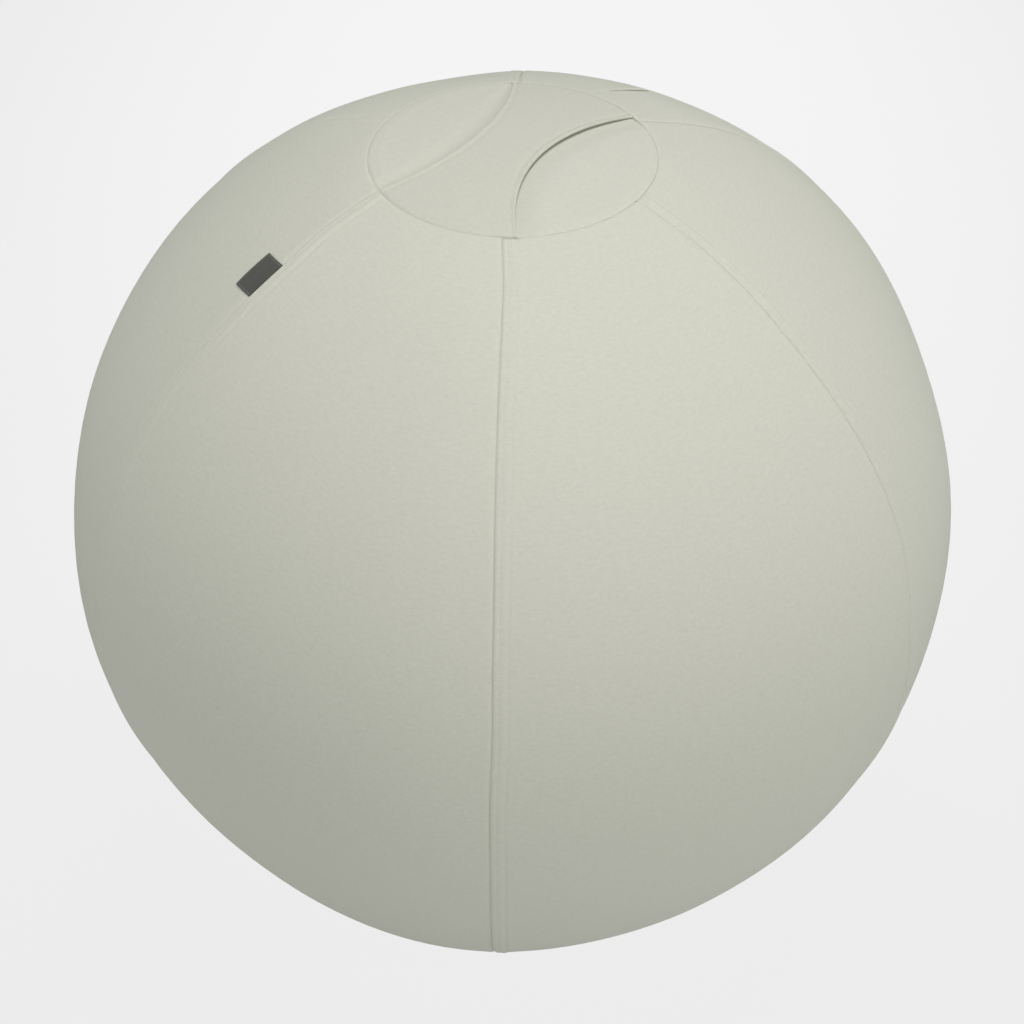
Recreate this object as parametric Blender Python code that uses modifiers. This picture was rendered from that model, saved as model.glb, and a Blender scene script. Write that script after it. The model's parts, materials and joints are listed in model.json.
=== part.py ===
"""Balance ball chair: an inflated ball in a fitted cover of six gores, with a round top disc, a waisted
carry strap, a zip up the back, a folded side label and a sand weight under the ball.

Metres, +Z up. The origin is on the floor under the middle of the ball. The front seam faces -Y.
Azimuths start at the front seam and grow towards +X. Latitudes are measured at the ball's centre."""

import math

import bmesh
import bpy
from mathutils import Matrix, Vector

# Cover
BALL_RADIUS = 0.325
SEAM_RIDGE = 0.0030
GORE_DIP = 0.0020
RIDGE_SHARPNESS = 1.3
RIDGE_FADES_FROM = math.radians(52)
GORES = ("front_right", "right", "back_right", "back_left", "left", "front_left")
COVER_THICKNESS = 0.0012
BAND_WIDTH = 0.0100
BAND_RAISE = 0.0008
BAND_STEP = 0.0006
DISC_RADIUS = 0.0965
TOP_SINK = 0.0045
FLOOR_PATCH_RADIUS = 0.048
GAP = 0.0003

# Carry strap
STRAP_THICKNESS = 0.0016
STRAP_WAIST = 0.0505
STRAP_SPAN = math.radians(63)
STRAP_TURN = math.radians(-28)
STRAP_SLACK = 0.0015

# Side label
LABEL_LENGTH = 0.0293
LABEL_WIDTH = 0.0195
LABEL_THICKNESS = 0.0008
LABEL_FOLD_RADIUS = 0.00024
LABEL_BELOW_DISC = 0.0943
LABEL_SEAM = 4
SEAM_BOW = 0.0063
SEAM_BOW_BELOW_LABEL = 0.0200
SEAM_BOW_REACH = 0.0567

# Zip, from the middle of its channel outwards
ZIP_LENGTH = 0.318
ZIP_TOP_LATITUDE = math.radians(6)
ZIP_SEAM = 2
ZIP_END_TAPER = math.radians(1.8)
CHANNEL_WIDTH = 0.0013
COIL_DIAMETER = 0.0013
TAPE_WIDTH = 0.0130
TAPE_THICKNESS = 0.0007
TAPE_TAIL = 0.0075
SLIDER_LENGTH = 0.0110
SLIDER_PLATE = 0.0010
FLANGE_THICKNESS = 0.0008
PLATE_OVERHANG = 0.0006
SLIDER_ROOM = 0.0008
BRIDGE_LENGTH = 0.0026
STOP_LENGTH = 0.0022
PULL_PIN_RADIUS = 0.0006
PULL_EAR = 0.0005
PIN_SINK = 0.00003
PULL_LENGTH = 0.0240
PULL_WIDTH = 0.0064
PULL_NOTCH_DEPTH = 0.0050
BAIL_WIDTH = 0.0020
BAIL_WALL = 0.0009
BAIL_ROOM = 0.0010
JOIN_LAP = 0.0002

# Inner ball and valve
BALL_WALL = 0.0008
VALVE_LATITUDE = math.radians(18)
VALVE_FLANGE_RADIUS = 0.0120
VALVE_FLANGE_THICKNESS = 0.0012
VALVE_COLLAR_RADIUS = 0.0065
VALVE_COLLAR_LENGTH = 0.0120
VALVE_BORE_RADIUS = 0.0042
PLUG_HEAD_RADIUS = 0.0080
PLUG_HEAD_THICKNESS = 0.0016
PLUG_LENGTH = 0.0100
PLUG_TAPER = 0.0005

# Sand weight
POUCH_THICKNESS = 0.0008
POUCH_HEM = 0.0060
SAND_RADIUS = 0.078
SAND_DEPTH = 0.0120
SAND_RIM = 0.0015

# How finely curved faces are drawn
BODY_CELLS = 6
ROWS_BELOW_ZIP = 3
ROWS_ALONG_ZIP = 9
ROWS_ABOVE_ZIP = 10
STRAP_CELLS = (14, 6)
DISC_STEPS = 32
DISC_RINGS = 5
BALL_SEGMENTS = 32
BALL_RINGS = 20
VALVE_STEPS = 20
PIN_STEPS = 16
ZIP_ROWS = 28
MERGE_DISTANCE = 0.00001

# Places that follow from the sizes
GORE_ANGLE = 2 * math.pi / len(GORES)
CENTRE_HEIGHT = math.sqrt(BALL_RADIUS**2 - FLOOR_PATCH_RADIUS**2)
DISC_LATITUDE = math.acos(DISC_RADIUS / BALL_RADIUS)
DISC_HEIGHT = CENTRE_HEIGHT + BALL_RADIUS * math.sin(DISC_LATITUDE)
HEM_WIDTH = CHANNEL_WIDTH + TAPE_WIDTH + 2 * GAP
DISC_EDGE_DIP = HEM_WIDTH**2 / (8 * DISC_RADIUS)
DISC_EDGE_RADIUS = DISC_RADIUS - GAP - DISC_EDGE_DIP

COIL_OUTER = CHANNEL_WIDTH / 2 + COIL_DIAMETER
FLANGE_INNER = COIL_OUTER + GAP
SLIDER_HALF_WIDTH = FLANGE_INNER + FLANGE_THICKNESS + PLATE_OVERHANG
SLOT_HALF_WIDTH = SLIDER_HALF_WIDTH + SLIDER_ROOM

SEAM_RADIUS = BALL_RADIUS + SEAM_RIDGE
ZIP_BOTTOM_LATITUDE = ZIP_TOP_LATITUDE - ZIP_LENGTH / SEAM_RADIUS
SLOT_TOP_LATITUDE = ZIP_TOP_LATITUDE + ZIP_END_TAPER
SLOT_BOTTOM_LATITUDE = ZIP_BOTTOM_LATITUDE - ZIP_END_TAPER
RIDGE_FULL_LATITUDE = max(RIDGE_FADES_FROM, SLOT_TOP_LATITUDE, -SLOT_BOTTOM_LATITUDE)


def chord_dip(angle):
    """How far the middle of a flat facet lies inside the round cover."""
    return SEAM_RADIUS * (1 - math.cos(angle / 2))


def even(start, end, cells):
    """Evenly spaced values from start to end, both included."""
    return [start + (end - start) * i / cells for i in range(cells + 1)]


ROWS = (
    even(-DISC_LATITUDE, SLOT_BOTTOM_LATITUDE, ROWS_BELOW_ZIP)
    + even(ZIP_BOTTOM_LATITUDE, ZIP_TOP_LATITUDE, ROWS_ALONG_ZIP)
    + even(SLOT_TOP_LATITUDE, DISC_LATITUDE, ROWS_ABOVE_ZIP)
)
ROW_DIP = chord_dip(max(b - a for a, b in zip(ROWS, ROWS[1:])))
CELL_DIP = chord_dip(GORE_ANGLE / BODY_CELLS)
HEM_DIP = chord_dip(HEM_WIDTH / BALL_RADIUS)

TAPE_RADIUS = SEAM_RADIUS - COVER_THICKNESS - GAP - ROW_DIP - 2 * HEM_DIP
COIL_RADIUS = TAPE_RADIUS + GAP + COIL_DIAMETER / 2
COIL_TOP_RADIUS = COIL_RADIUS + COIL_DIAMETER / 2
PLATE_RADIUS = COIL_TOP_RADIUS + GAP
PIN_RADIUS = PLATE_RADIUS + SLIDER_PLATE + GAP + PULL_PIN_RADIUS
BOTTOM_PLATE_RADIUS = TAPE_RADIUS - TAPE_THICKNESS - GAP - SLIDER_PLATE
STOP_ANGLE = STOP_LENGTH / SEAM_RADIUS
COIL_TOP_LATITUDE = ZIP_TOP_LATITUDE - STOP_ANGLE
COIL_BOTTOM_LATITUDE = ZIP_BOTTOM_LATITUDE + STOP_ANGLE
SLIDER_HALF_ANGLE = (SLIDER_LENGTH / 2 + GAP) / TAPE_RADIUS
SLIDER_LATITUDE = COIL_TOP_LATITUDE - SLIDER_HALF_ANGLE
SLIDER_LOWEST_LATITUDE = COIL_BOTTOM_LATITUDE + SLIDER_HALF_ANGLE

BALL_SKIN_RADIUS = BALL_RADIUS - GORE_DIP - COVER_THICKNESS - ROW_DIP - CELL_DIP - GAP
ZIP_AZIMUTH = (ZIP_SEAM + 1) * GORE_ANGLE
LABEL_AZIMUTH = (LABEL_SEAM + 1) * GORE_ANGLE
LABEL_LATITUDE = DISC_LATITUDE - LABEL_BELOW_DISC / BALL_RADIUS
SEAM_BOW_LATITUDE = LABEL_LATITUDE - SEAM_BOW_BELOW_LABEL / BALL_RADIUS


def smooth(share):
    """Eases from 0 to 1."""
    share = min(max(share, 0), 1)
    return share * share * (3 - 2 * share)


def ball_point(azimuth, latitude, radius):
    """A point at this distance from the ball's centre."""
    flat = radius * math.cos(latitude)
    height = CENTRE_HEIGHT + radius * math.sin(latitude)
    return Vector((flat * math.sin(azimuth), -flat * math.cos(azimuth), height))


def cover_radius(azimuth, latitude):
    """The cover stands out at each seam and lies in between, up to the discs, where it is round."""
    ridge = ((1 + math.cos(len(GORES) * azimuth)) / 2) ** RIDGE_SHARPNESS
    fade_width = DISC_LATITUDE - RIDGE_FULL_LATITUDE
    fade = 1 - smooth((abs(latitude) - RIDGE_FULL_LATITUDE) / fade_width)
    return BALL_RADIUS + (ridge * (SEAM_RIDGE + GORE_DIP) - GORE_DIP) * fade


def seam_setback(seam, latitude):
    """How far a gore's edge keeps from the seam's plane: half a gap, or the zip's open slot."""
    along_zip = ZIP_BOTTOM_LATITUDE - 1e-6 <= latitude <= ZIP_TOP_LATITUDE + 1e-6
    return SLOT_HALF_WIDTH if seam == ZIP_SEAM and along_zip else GAP / 2


def dish_height(radius, inset):
    """Height of the ball's flattened underside, at a depth inside the cover."""
    sphere = BALL_RADIUS - inset
    return max(inset, CENTRE_HEIGHT - math.sqrt(sphere**2 - radius**2))


def dome_height(radius, rim_height, pole_height):
    """Height of a round dome over the top disc."""
    rise = pole_height - rim_height
    arc = (DISC_RADIUS**2 + rise**2) / (2 * rise)
    return pole_height - arc + math.sqrt(arc**2 - radius**2)


STRAP_POLE_HEIGHT = CENTRE_HEIGHT + BALL_RADIUS - TOP_SINK
STRAP_DEPTH = STRAP_THICKNESS + GAP


def strap_height(radius):
    return dome_height(radius, DISC_HEIGHT, STRAP_POLE_HEIGHT)


def disc_height(radius):
    rim = DISC_HEIGHT - STRAP_DEPTH
    return dome_height(radius, rim, STRAP_POLE_HEIGHT - STRAP_DEPTH - STRAP_SLACK)


def sand_top(radius):
    """The sand heaps a little towards the middle of its pouch."""
    floor = COVER_THICKNESS + POUCH_THICKNESS + 2 * GAP
    rim = dish_height(SAND_RADIUS, floor) + SAND_RIM
    return rim + (floor + SAND_DEPTH - rim) * (1 - (radius / SAND_RADIUS) ** 2)


POUCH_TOP_HEIGHT = sand_top(0) + GAP + POUCH_THICKNESS


def collection(name):
    made = bpy.data.collections.new(name)
    bpy.context.scene.collection.children.link(made)
    return made


def material(name, colour, roughness, metallic=0.0):
    made = bpy.data.materials.new(name)
    made.use_nodes = True
    shader = made.node_tree.nodes["Principled BSDF"]
    shader.inputs["Base Color"].default_value = (*colour, 1)
    shader.inputs["Roughness"].default_value = roughness
    shader.inputs["Metallic"].default_value = metallic
    made.diffuse_color = (*colour, 1)
    return made


def keep(obj, name, finish, home, sharp=35):
    """Names a piece, gives it its material and puts it in its collection."""
    obj.name = name
    obj.data.name = name
    obj.data.materials.clear()
    obj.data.materials.append(finish)
    if obj.type == "MESH":
        obj.data.shade_smooth()
        obj.data.set_sharp_from_angle(angle=math.radians(sharp))
    for old in list(obj.users_collection):
        old.objects.unlink(obj)
    home.objects.link(obj)
    return obj


def put_away(obj, name, cutters):
    """A cutter or a joined shape: seen as wires, and no piece of the object."""
    obj.name = name
    obj.hide_render = True
    obj.display_type = "WIRE"
    for old in list(obj.users_collection):
        old.objects.unlink(obj)
    cutters.objects.link(obj)
    return obj


def sheet(columns, rows, spot):
    """A grid whose crossings lie where spot(column, row) says."""
    bpy.ops.mesh.primitive_grid_add(x_subdivisions=columns, y_subdivisions=rows, size=2)
    obj = bpy.context.object
    for vertex in obj.data.vertices:
        column = round((vertex.co.x + 1) / 2 * columns)
        row = round((vertex.co.y + 1) / 2 * rows)
        vertex.co = spot(column, row)
    return obj


def thicken(obj, thickness):
    """Gives an open surface its wall, on its inner side."""
    wall = obj.modifiers.new("wall", "SOLIDIFY")
    wall.thickness = thickness
    wall.offset = -1
    wall.use_even_offset = True
    return obj


def turned(profile, steps, closed=False):
    """A profile of (radius, height) points, turned round the Z axis."""
    mesh = bpy.data.meshes.new("profile")
    edges = [(i, i + 1) for i in range(len(profile) - 1)]
    if closed:
        edges.append((len(profile) - 1, 0))
    mesh.from_pydata([(radius, 0, height) for radius, height in profile], edges, [])
    obj = bpy.data.objects.new("profile", mesh)
    bpy.context.scene.collection.objects.link(obj)
    turn = obj.modifiers.new("turn", "SCREW")
    turn.angle = 2 * math.pi
    turn.steps = steps
    turn.render_steps = steps
    turn.use_merge_vertices = True
    turn.merge_threshold = MERGE_DISTANCE
    return obj


def tube(points, radius):
    """A round bar along a list of points."""
    curve = bpy.data.curves.new("tube", "CURVE")
    curve.dimensions = "3D"
    curve.bevel_depth = radius
    curve.bevel_resolution = 2
    curve.use_fill_caps = True
    spline = curve.splines.new("POLY")
    spline.points.add(len(points) - 1)
    for knot, point in zip(spline.points, points):
        knot.co = (*point, 1)
    obj = bpy.data.objects.new("tube", curve)
    bpy.context.scene.collection.objects.link(obj)
    return obj


def block(low, high):
    """A box between two corners."""
    low, high = Vector(low), Vector(high)
    bpy.ops.mesh.primitive_cube_add(size=1)
    obj = bpy.context.object
    obj.data.transform(Matrix.Diagonal((*(high - low), 1)))
    obj.data.transform(Matrix.Translation((low + high) / 2))
    return obj


def join(obj, others, cutters, operation="UNION"):
    """Joins solids to a piece, or cuts them out of it. They follow it to its place."""
    for number, other in enumerate(others):
        put_away(other, f"{obj.name}_{operation.lower()}_{number}", cutters)
        other.parent = obj
        cut = obj.modifiers.new(other.name, "BOOLEAN")
        cut.object = other
        cut.operation = operation
        cut.solver = "EXACT"
    return obj


def seam_bow(seam, latitude):
    """The label's seam isn't sewn quite straight: beside the label it bows towards the front."""
    if seam != LABEL_SEAM:
        return 0
    share = (latitude - SEAM_BOW_LATITUDE) * BALL_RADIUS / SEAM_BOW_REACH
    return SEAM_BOW * math.exp(-(share**4))


def label_azimuth(latitude):
    """Azimuth of the label's seam beside the label, on the straight run between two rows."""
    low = max(row for row in ROWS if row <= LABEL_LATITUDE)
    high = min(row for row in ROWS if row > LABEL_LATITUDE)
    low_bow, high_bow = seam_bow(LABEL_SEAM, low), seam_bow(LABEL_SEAM, high)
    bow = low_bow + (high_bow - low_bow) * (latitude - low) / (high - low)
    return LABEL_AZIMUTH + bow / (BALL_RADIUS * math.cos(latitude))


def make_gore(number, finish, home):
    """One gore, from the seam that it starts at to the next one. Its start edge carries the raised,
    folded band of the seam, and both edges have a hem that stays true over the zip's tapes."""
    start_seam = number - 1
    fixed = (0, BAND_WIDTH, BAND_WIDTH + BAND_STEP, HEM_WIDTH)
    columns = len(fixed) + BODY_CELLS

    def spot(column, row):
        latitude = ROWS[row]
        flat = BALL_RADIUS * math.cos(latitude)
        start_offset = seam_bow(start_seam, latitude) + seam_setback(start_seam, latitude)
        end_offset = seam_bow(number, latitude) - seam_setback(number, latitude)
        start = number * GORE_ANGLE + start_offset / flat
        end = (number + 1) * GORE_ANGLE + end_offset / flat
        if column < len(fixed):
            azimuth = start + fixed[column] / flat
        elif column == columns:
            azimuth = end
        else:
            share = (column - len(fixed) + 1) / BODY_CELLS
            first = start + HEM_WIDTH / flat
            last = end - HEM_WIDTH / flat
            azimuth = first + (last - first) * share
        radius = cover_radius(azimuth, latitude)
        if column < 2:
            radius += BAND_RAISE
        return ball_point(azimuth, latitude, radius)

    gore = thicken(sheet(columns, len(ROWS) - 1, spot), COVER_THICKNESS)
    return keep(gore, f"gore_panel_{GORES[number]}", finish, home)


def make_discs(fabric, grip, home):
    """The round top disc lies under the strap, and the base disc has the flat patch that stands."""
    radii = even(0, DISC_EDGE_RADIUS, DISC_RINGS)
    outer = [(r, disc_height(r)) for r in radii]
    inner = [(r, disc_height(r) - COVER_THICKNESS) for r in reversed(radii)]
    keep(turned(outer + inner, DISC_STEPS), "top_disc", fabric, home)

    radii = [0] + even(FLOOR_PATCH_RADIUS, DISC_EDGE_RADIUS, DISC_RINGS - 1)
    inner = [(r, dish_height(r, COVER_THICKNESS)) for r in radii]
    outer = [(r, dish_height(r, 0)) for r in reversed(radii)]
    keep(turned(inner + outer, DISC_STEPS), "base_disc", grip, home)


def make_strap(finish, home):
    """The carry strap narrows from its sewn ends to its waist, along one arc on each side."""
    reach = DISC_EDGE_RADIUS
    end_half_width = reach * math.sin(STRAP_SPAN / 2)
    end_distance = reach * math.cos(STRAP_SPAN / 2)
    sweep = end_half_width - STRAP_WAIST / 2
    arc = (end_distance**2 + sweep**2) / (2 * sweep)
    lengthwise, crosswise = STRAP_CELLS

    def half_width(distance):
        return STRAP_WAIST / 2 + arc - math.sqrt(arc**2 - distance**2)

    def spot(column, row):
        along = 2 * column / lengthwise - 1
        across = 2 * row / crosswise - 1
        lean = across * STRAP_SPAN / 2
        distance = along * reach * math.cos(lean)
        side = across * half_width(min(abs(distance), end_distance))
        side += (reach * math.sin(lean) - side) * along**2 * abs(along)
        x = distance * math.sin(STRAP_TURN) + side * math.cos(STRAP_TURN)
        y = -distance * math.cos(STRAP_TURN) + side * math.sin(STRAP_TURN)
        return Vector((x, y, strap_height(math.hypot(x, y))))

    strap = thicken(sheet(lengthwise, crosswise, spot), STRAP_THICKNESS)
    keep(strap, "carry_strap", finish, home)


def label_frame():
    """The cover's surface at the label: across the label, up along its seam, and outwards."""
    step = 0.001
    azimuth, latitude = label_azimuth(LABEL_LATITUDE), LABEL_LATITUDE + step
    here = ball_point(azimuth, LABEL_LATITUDE, cover_radius(azimuth, LABEL_LATITUDE))
    above = label_azimuth(latitude)
    up = (ball_point(above, latitude, cover_radius(above, latitude)) - here).normalized()
    level = Vector((-math.cos(azimuth), -math.sin(azimuth), 0))
    across = (level - up * level.dot(up)).normalized()
    return here, across, up, up.cross(across)


def make_label(finish, home):
    """The folded label is sewn in at the seam, lies over the gore beside it, and can be lifted."""
    here, across, up, out = label_frame()
    half = LABEL_THICKNESS / 2
    label = block((half, -LABEL_LENGTH / 2, -half), (LABEL_WIDTH, LABEL_LENGTH / 2, half))
    fold = label.modifiers.new("fold", "BEVEL")
    fold.width = LABEL_FOLD_RADIUS
    fold.segments = 2
    keep(label, "side_label", finish, home)
    turn = Matrix((across, -up, out)).transposed()
    hinge = here + out * (GAP + half)
    label.matrix_world = Matrix.Translation(hinge) @ turn.to_4x4()
    print("side label hinge", tuple(hinge), "axis", tuple(up))


def zip_point(side, offset, latitude, radius):
    """A point beside the zip's middle plane. It keeps its distance from the line that the slider
    turns about, whatever the latitude."""
    level = math.sqrt(radius**2 - offset**2)
    x = side * offset
    return Vector((x, level * math.cos(latitude), CENTRE_HEIGHT + level * math.sin(latitude)))


def make_tape(side, name, finish, home):
    """A woven tape lies under the gore's hem. Its inner edge leaves the channel open."""
    tail = TAPE_TAIL / TAPE_RADIUS
    rows = even(ZIP_BOTTOM_LATITUDE - tail, ZIP_TOP_LATITUDE + tail, ZIP_ROWS)
    edges = (CHANNEL_WIDTH / 2, CHANNEL_WIDTH / 2 + TAPE_WIDTH / 2, CHANNEL_WIDTH / 2 + TAPE_WIDTH)

    def spot(column, row):
        return zip_point(side, edges[column], rows[row], TAPE_RADIUS)

    tape = sheet(len(edges) - 1, ZIP_ROWS, spot)
    if side > 0:
        tape.data.flip_normals()
    keep(thicken(tape, TAPE_THICKNESS), name, finish, home)


def make_coil(side, name, finish, home):
    """The coil runs along the tape's inner edge, between the stops."""
    rows = even(COIL_BOTTOM_LATITUDE + GAP / COIL_RADIUS, COIL_TOP_LATITUDE - GAP / COIL_RADIUS, ZIP_ROWS)
    middle = (CHANNEL_WIDTH + COIL_DIAMETER) / 2
    points = [zip_point(side, middle, latitude, COIL_RADIUS) for latitude in rows]
    keep(tube(points, COIL_DIAMETER / 2), name, finish, home)


def turn_to_latitude(obj, latitude):
    """Carries a piece that is drawn at the equator round the ball's centre, along the zip."""
    obj.location = (0, 0, CENTRE_HEIGHT)
    obj.rotation_euler.x = latitude
    return obj


def make_stops(finish, home):
    """Two clips end the coils at the top, and one holds both coils together at the bottom."""
    low, high = TAPE_RADIUS + GAP, COIL_TOP_RADIUS
    inner = CHANNEL_WIDTH / 2
    half = STOP_LENGTH / 2
    top = COIL_TOP_LATITUDE + STOP_ANGLE / 2
    bottom = COIL_BOTTOM_LATITUDE - STOP_ANGLE / 2
    for side, name in ((-1, "zip_top_stop_left"), (1, "zip_top_stop_right")):
        near, far = sorted((side * inner, side * COIL_OUTER))
        clip = keep(block((near, low, -half), (far, high, half)), name, finish, home)
        turn_to_latitude(clip, top)
    clip = block((-COIL_OUTER, low, -half), (COIL_OUTER, high, half))
    turn_to_latitude(keep(clip, "zip_bottom_stop", finish, home), bottom)


def make_slider(finish, home, cutters):
    """The slider's plates lie over and under the tapes, its bridge runs in the channel, and its
    flanges hold the coils. It is drawn at the equator, with its origin on the line it turns about."""
    half = SLIDER_LENGTH / 2
    wide = SLIDER_HALF_WIDTH
    plate_top = PLATE_RADIUS + SLIDER_PLATE
    lap = JOIN_LAP
    slider = block((-wide, PLATE_RADIUS, -half), (wide, plate_top, half))
    keep(slider, "zip_slider", finish, home, sharp=30)

    low_plate_top = BOTTOM_PLATE_RADIUS + SLIDER_PLATE
    parts = [block((-wide, BOTTOM_PLATE_RADIUS, -half), (wide, low_plate_top, half))]
    bridge = CHANNEL_WIDTH / 2 - GAP
    bridge_end = (bridge, PLATE_RADIUS + lap, half - lap)
    parts.append(block((-bridge, low_plate_top - lap, half - BRIDGE_LENGTH), bridge_end))
    for side in (-1, 1):
        near, far = sorted((side * FLANGE_INNER, side * (FLANGE_INNER + FLANGE_THICKNESS)))
        flange_end = (far, PLATE_RADIUS + lap, half - lap)
        parts.append(block((near, TAPE_RADIUS + GAP, -half + lap), flange_end))

    bail_half = BAIL_WIDTH / 2
    reach = PULL_PIN_RADIUS + BAIL_ROOM
    bail_top = PIN_RADIUS + PULL_PIN_RADIUS + GAP
    for side in (-1, 1):
        near, far = sorted((side * reach, side * (reach + BAIL_WALL)))
        parts.append(block((-bail_half, plate_top - lap, near), (bail_half, bail_top + lap, far)))
    end = reach + BAIL_WALL
    wide = bail_half + lap / 2
    parts.append(block((-wide, bail_top, -end), (wide, bail_top + BAIL_WALL, end)))
    join(slider, parts, cutters)
    return turn_to_latitude(slider, SLIDER_LATITUDE)


def make_pull(slider, finish, home, cutters):
    """The pull's two arms carry the pin that turns under the slider's bail. It hangs down the zip."""
    half = PULL_WIDTH / 2
    notch = BAIL_WIDTH / 2 + 2 * GAP
    top = PULL_EAR
    round_end = [(half * math.cos(a), half * math.sin(a) - PULL_LENGTH + half) for a in even(0, -math.pi, 8)]
    outline = [(-half, top), (-notch, top), (-notch, -PULL_NOTCH_DEPTH)]
    outline += [(notch, -PULL_NOTCH_DEPTH), (notch, top), (half, top)] + round_end

    curve = bpy.data.curves.new("pull", "CURVE")
    curve.dimensions = "2D"
    curve.fill_mode = "BOTH"
    curve.extrude = PULL_PIN_RADIUS
    spline = curve.splines.new("POLY")
    spline.points.add(len(outline) - 1)
    spline.use_cyclic_u = True
    for knot, (x, y) in zip(spline.points, outline):
        knot.co = (x, y, 0, 1)
    flat = bpy.data.objects.new("pull", curve)
    bpy.context.scene.collection.objects.link(flat)
    bpy.context.view_layer.update()
    graph = bpy.context.evaluated_depsgraph_get()
    mesh = bpy.data.meshes.new_from_object(flat.evaluated_get(graph))
    bpy.data.objects.remove(flat)
    weld(mesh)
    mesh.transform(Matrix.Rotation(math.pi / 2, 4, "X"))
    pull = bpy.data.objects.new("pull", mesh)
    bpy.context.scene.collection.objects.link(pull)
    keep(pull, "zip_pull_tab", finish, home)

    bpy.ops.mesh.primitive_cylinder_add(
        vertices=PIN_STEPS, radius=PULL_PIN_RADIUS - PIN_SINK, depth=notch + half
    )
    pin = bpy.context.object
    pin.data.transform(Matrix.Rotation(math.pi / 2, 4, "Y"))
    join(pull, [pin], cutters)

    pivot = bpy.data.objects.new("zip_pull_pivot", None)
    home.objects.link(pivot)
    pivot.parent = slider
    pivot.location = (0, PIN_RADIUS, 0)
    pull.parent = pivot
    place = ball_point(ZIP_AZIMUTH, SLIDER_LATITUDE, PIN_RADIUS)
    print("pull pivot", tuple(place))
    print("slider travels", math.degrees(SLIDER_LATITUDE - SLIDER_LOWEST_LATITUDE), "degrees")


def weld(mesh):
    """Closes the loose caps that a filled curve has."""
    shape = bmesh.new()
    shape.from_mesh(mesh)
    bmesh.ops.remove_doubles(shape, verts=shape.verts, dist=MERGE_DISTANCE)
    bmesh.ops.recalc_face_normals(shape, faces=shape.faces)
    shape.to_mesh(mesh)
    shape.free()


def valve_matrix():
    """The valve's own axis points out of the ball, above the zip's upper end."""
    place = ball_point(ZIP_AZIMUTH, VALVE_LATITUDE, BALL_SKIN_RADIUS + GAP)
    out = (place - Vector((0, 0, CENTRE_HEIGHT))).normalized()
    return Matrix.Translation(place) @ out.to_track_quat("Z", "Y").to_matrix().to_4x4()


def make_inner_ball(finish, home, cutters):
    """The inflated ball is round, but for the top disc that holds it in and the pouch it stands on."""
    bpy.ops.mesh.primitive_uv_sphere_add(
        segments=BALL_SEGMENTS, ring_count=BALL_RINGS, radius=BALL_SKIN_RADIUS
    )
    ball = bpy.context.object
    lowest = POUCH_TOP_HEIGHT + GAP
    for vertex in ball.data.vertices:
        vertex.co.z += CENTRE_HEIGHT
        radius = math.hypot(vertex.co.x, vertex.co.y)
        vertex.co.z = max(vertex.co.z, lowest)
        if vertex.co.z > CENTRE_HEIGHT and radius < DISC_EDGE_RADIUS:
            ceiling = disc_height(radius) - COVER_THICKNESS - 2 * GAP
            vertex.co.z = min(vertex.co.z, ceiling)
    thicken(ball, BALL_WALL)
    keep(ball, "inner_ball", finish, home)
    bpy.ops.mesh.primitive_cylinder_add(
        vertices=VALVE_STEPS, radius=VALVE_COLLAR_RADIUS + GAP, depth=VALVE_COLLAR_LENGTH
    )
    hole = bpy.context.object
    hole.data.transform(valve_matrix())
    join(ball, [hole], cutters, "DIFFERENCE")


def make_valve(rubber, hard, home):
    """The seat's flange lies on the ball and its collar goes through the wall. The plug fills it."""
    seat = [
        (VALVE_FLANGE_RADIUS - VALVE_FLANGE_THICKNESS / 2, VALVE_FLANGE_THICKNESS),
        (VALVE_FLANGE_RADIUS, VALVE_FLANGE_THICKNESS / 2),
        (VALVE_FLANGE_RADIUS, 0),
        (VALVE_COLLAR_RADIUS, 0),
        (VALVE_COLLAR_RADIUS, -VALVE_COLLAR_LENGTH),
        (VALVE_BORE_RADIUS, -VALVE_COLLAR_LENGTH),
        (VALVE_BORE_RADIUS, VALVE_FLANGE_THICKNESS),
    ]
    ring = keep(turned(seat, VALVE_STEPS, closed=True), "valve_seat", rubber, home)
    ring.matrix_world = valve_matrix()

    stem = VALVE_BORE_RADIUS - GAP
    head_low = VALVE_FLANGE_THICKNESS + GAP
    head_top = head_low + PLUG_HEAD_THICKNESS
    tip = head_low - PLUG_LENGTH
    plug = [
        (0, head_top),
        (PLUG_HEAD_RADIUS - PLUG_HEAD_THICKNESS / 2, head_top),
        (PLUG_HEAD_RADIUS, head_top - PLUG_HEAD_THICKNESS / 2),
        (PLUG_HEAD_RADIUS, head_low),
        (stem, head_low),
        (stem - PLUG_TAPER, tip + PLUG_TAPER),
        (stem - 2 * PLUG_TAPER, tip),
        (0, tip),
    ]
    stopper = keep(turned(plug, VALVE_STEPS), "valve_plug", hard, home)
    stopper.matrix_world = valve_matrix()


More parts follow.
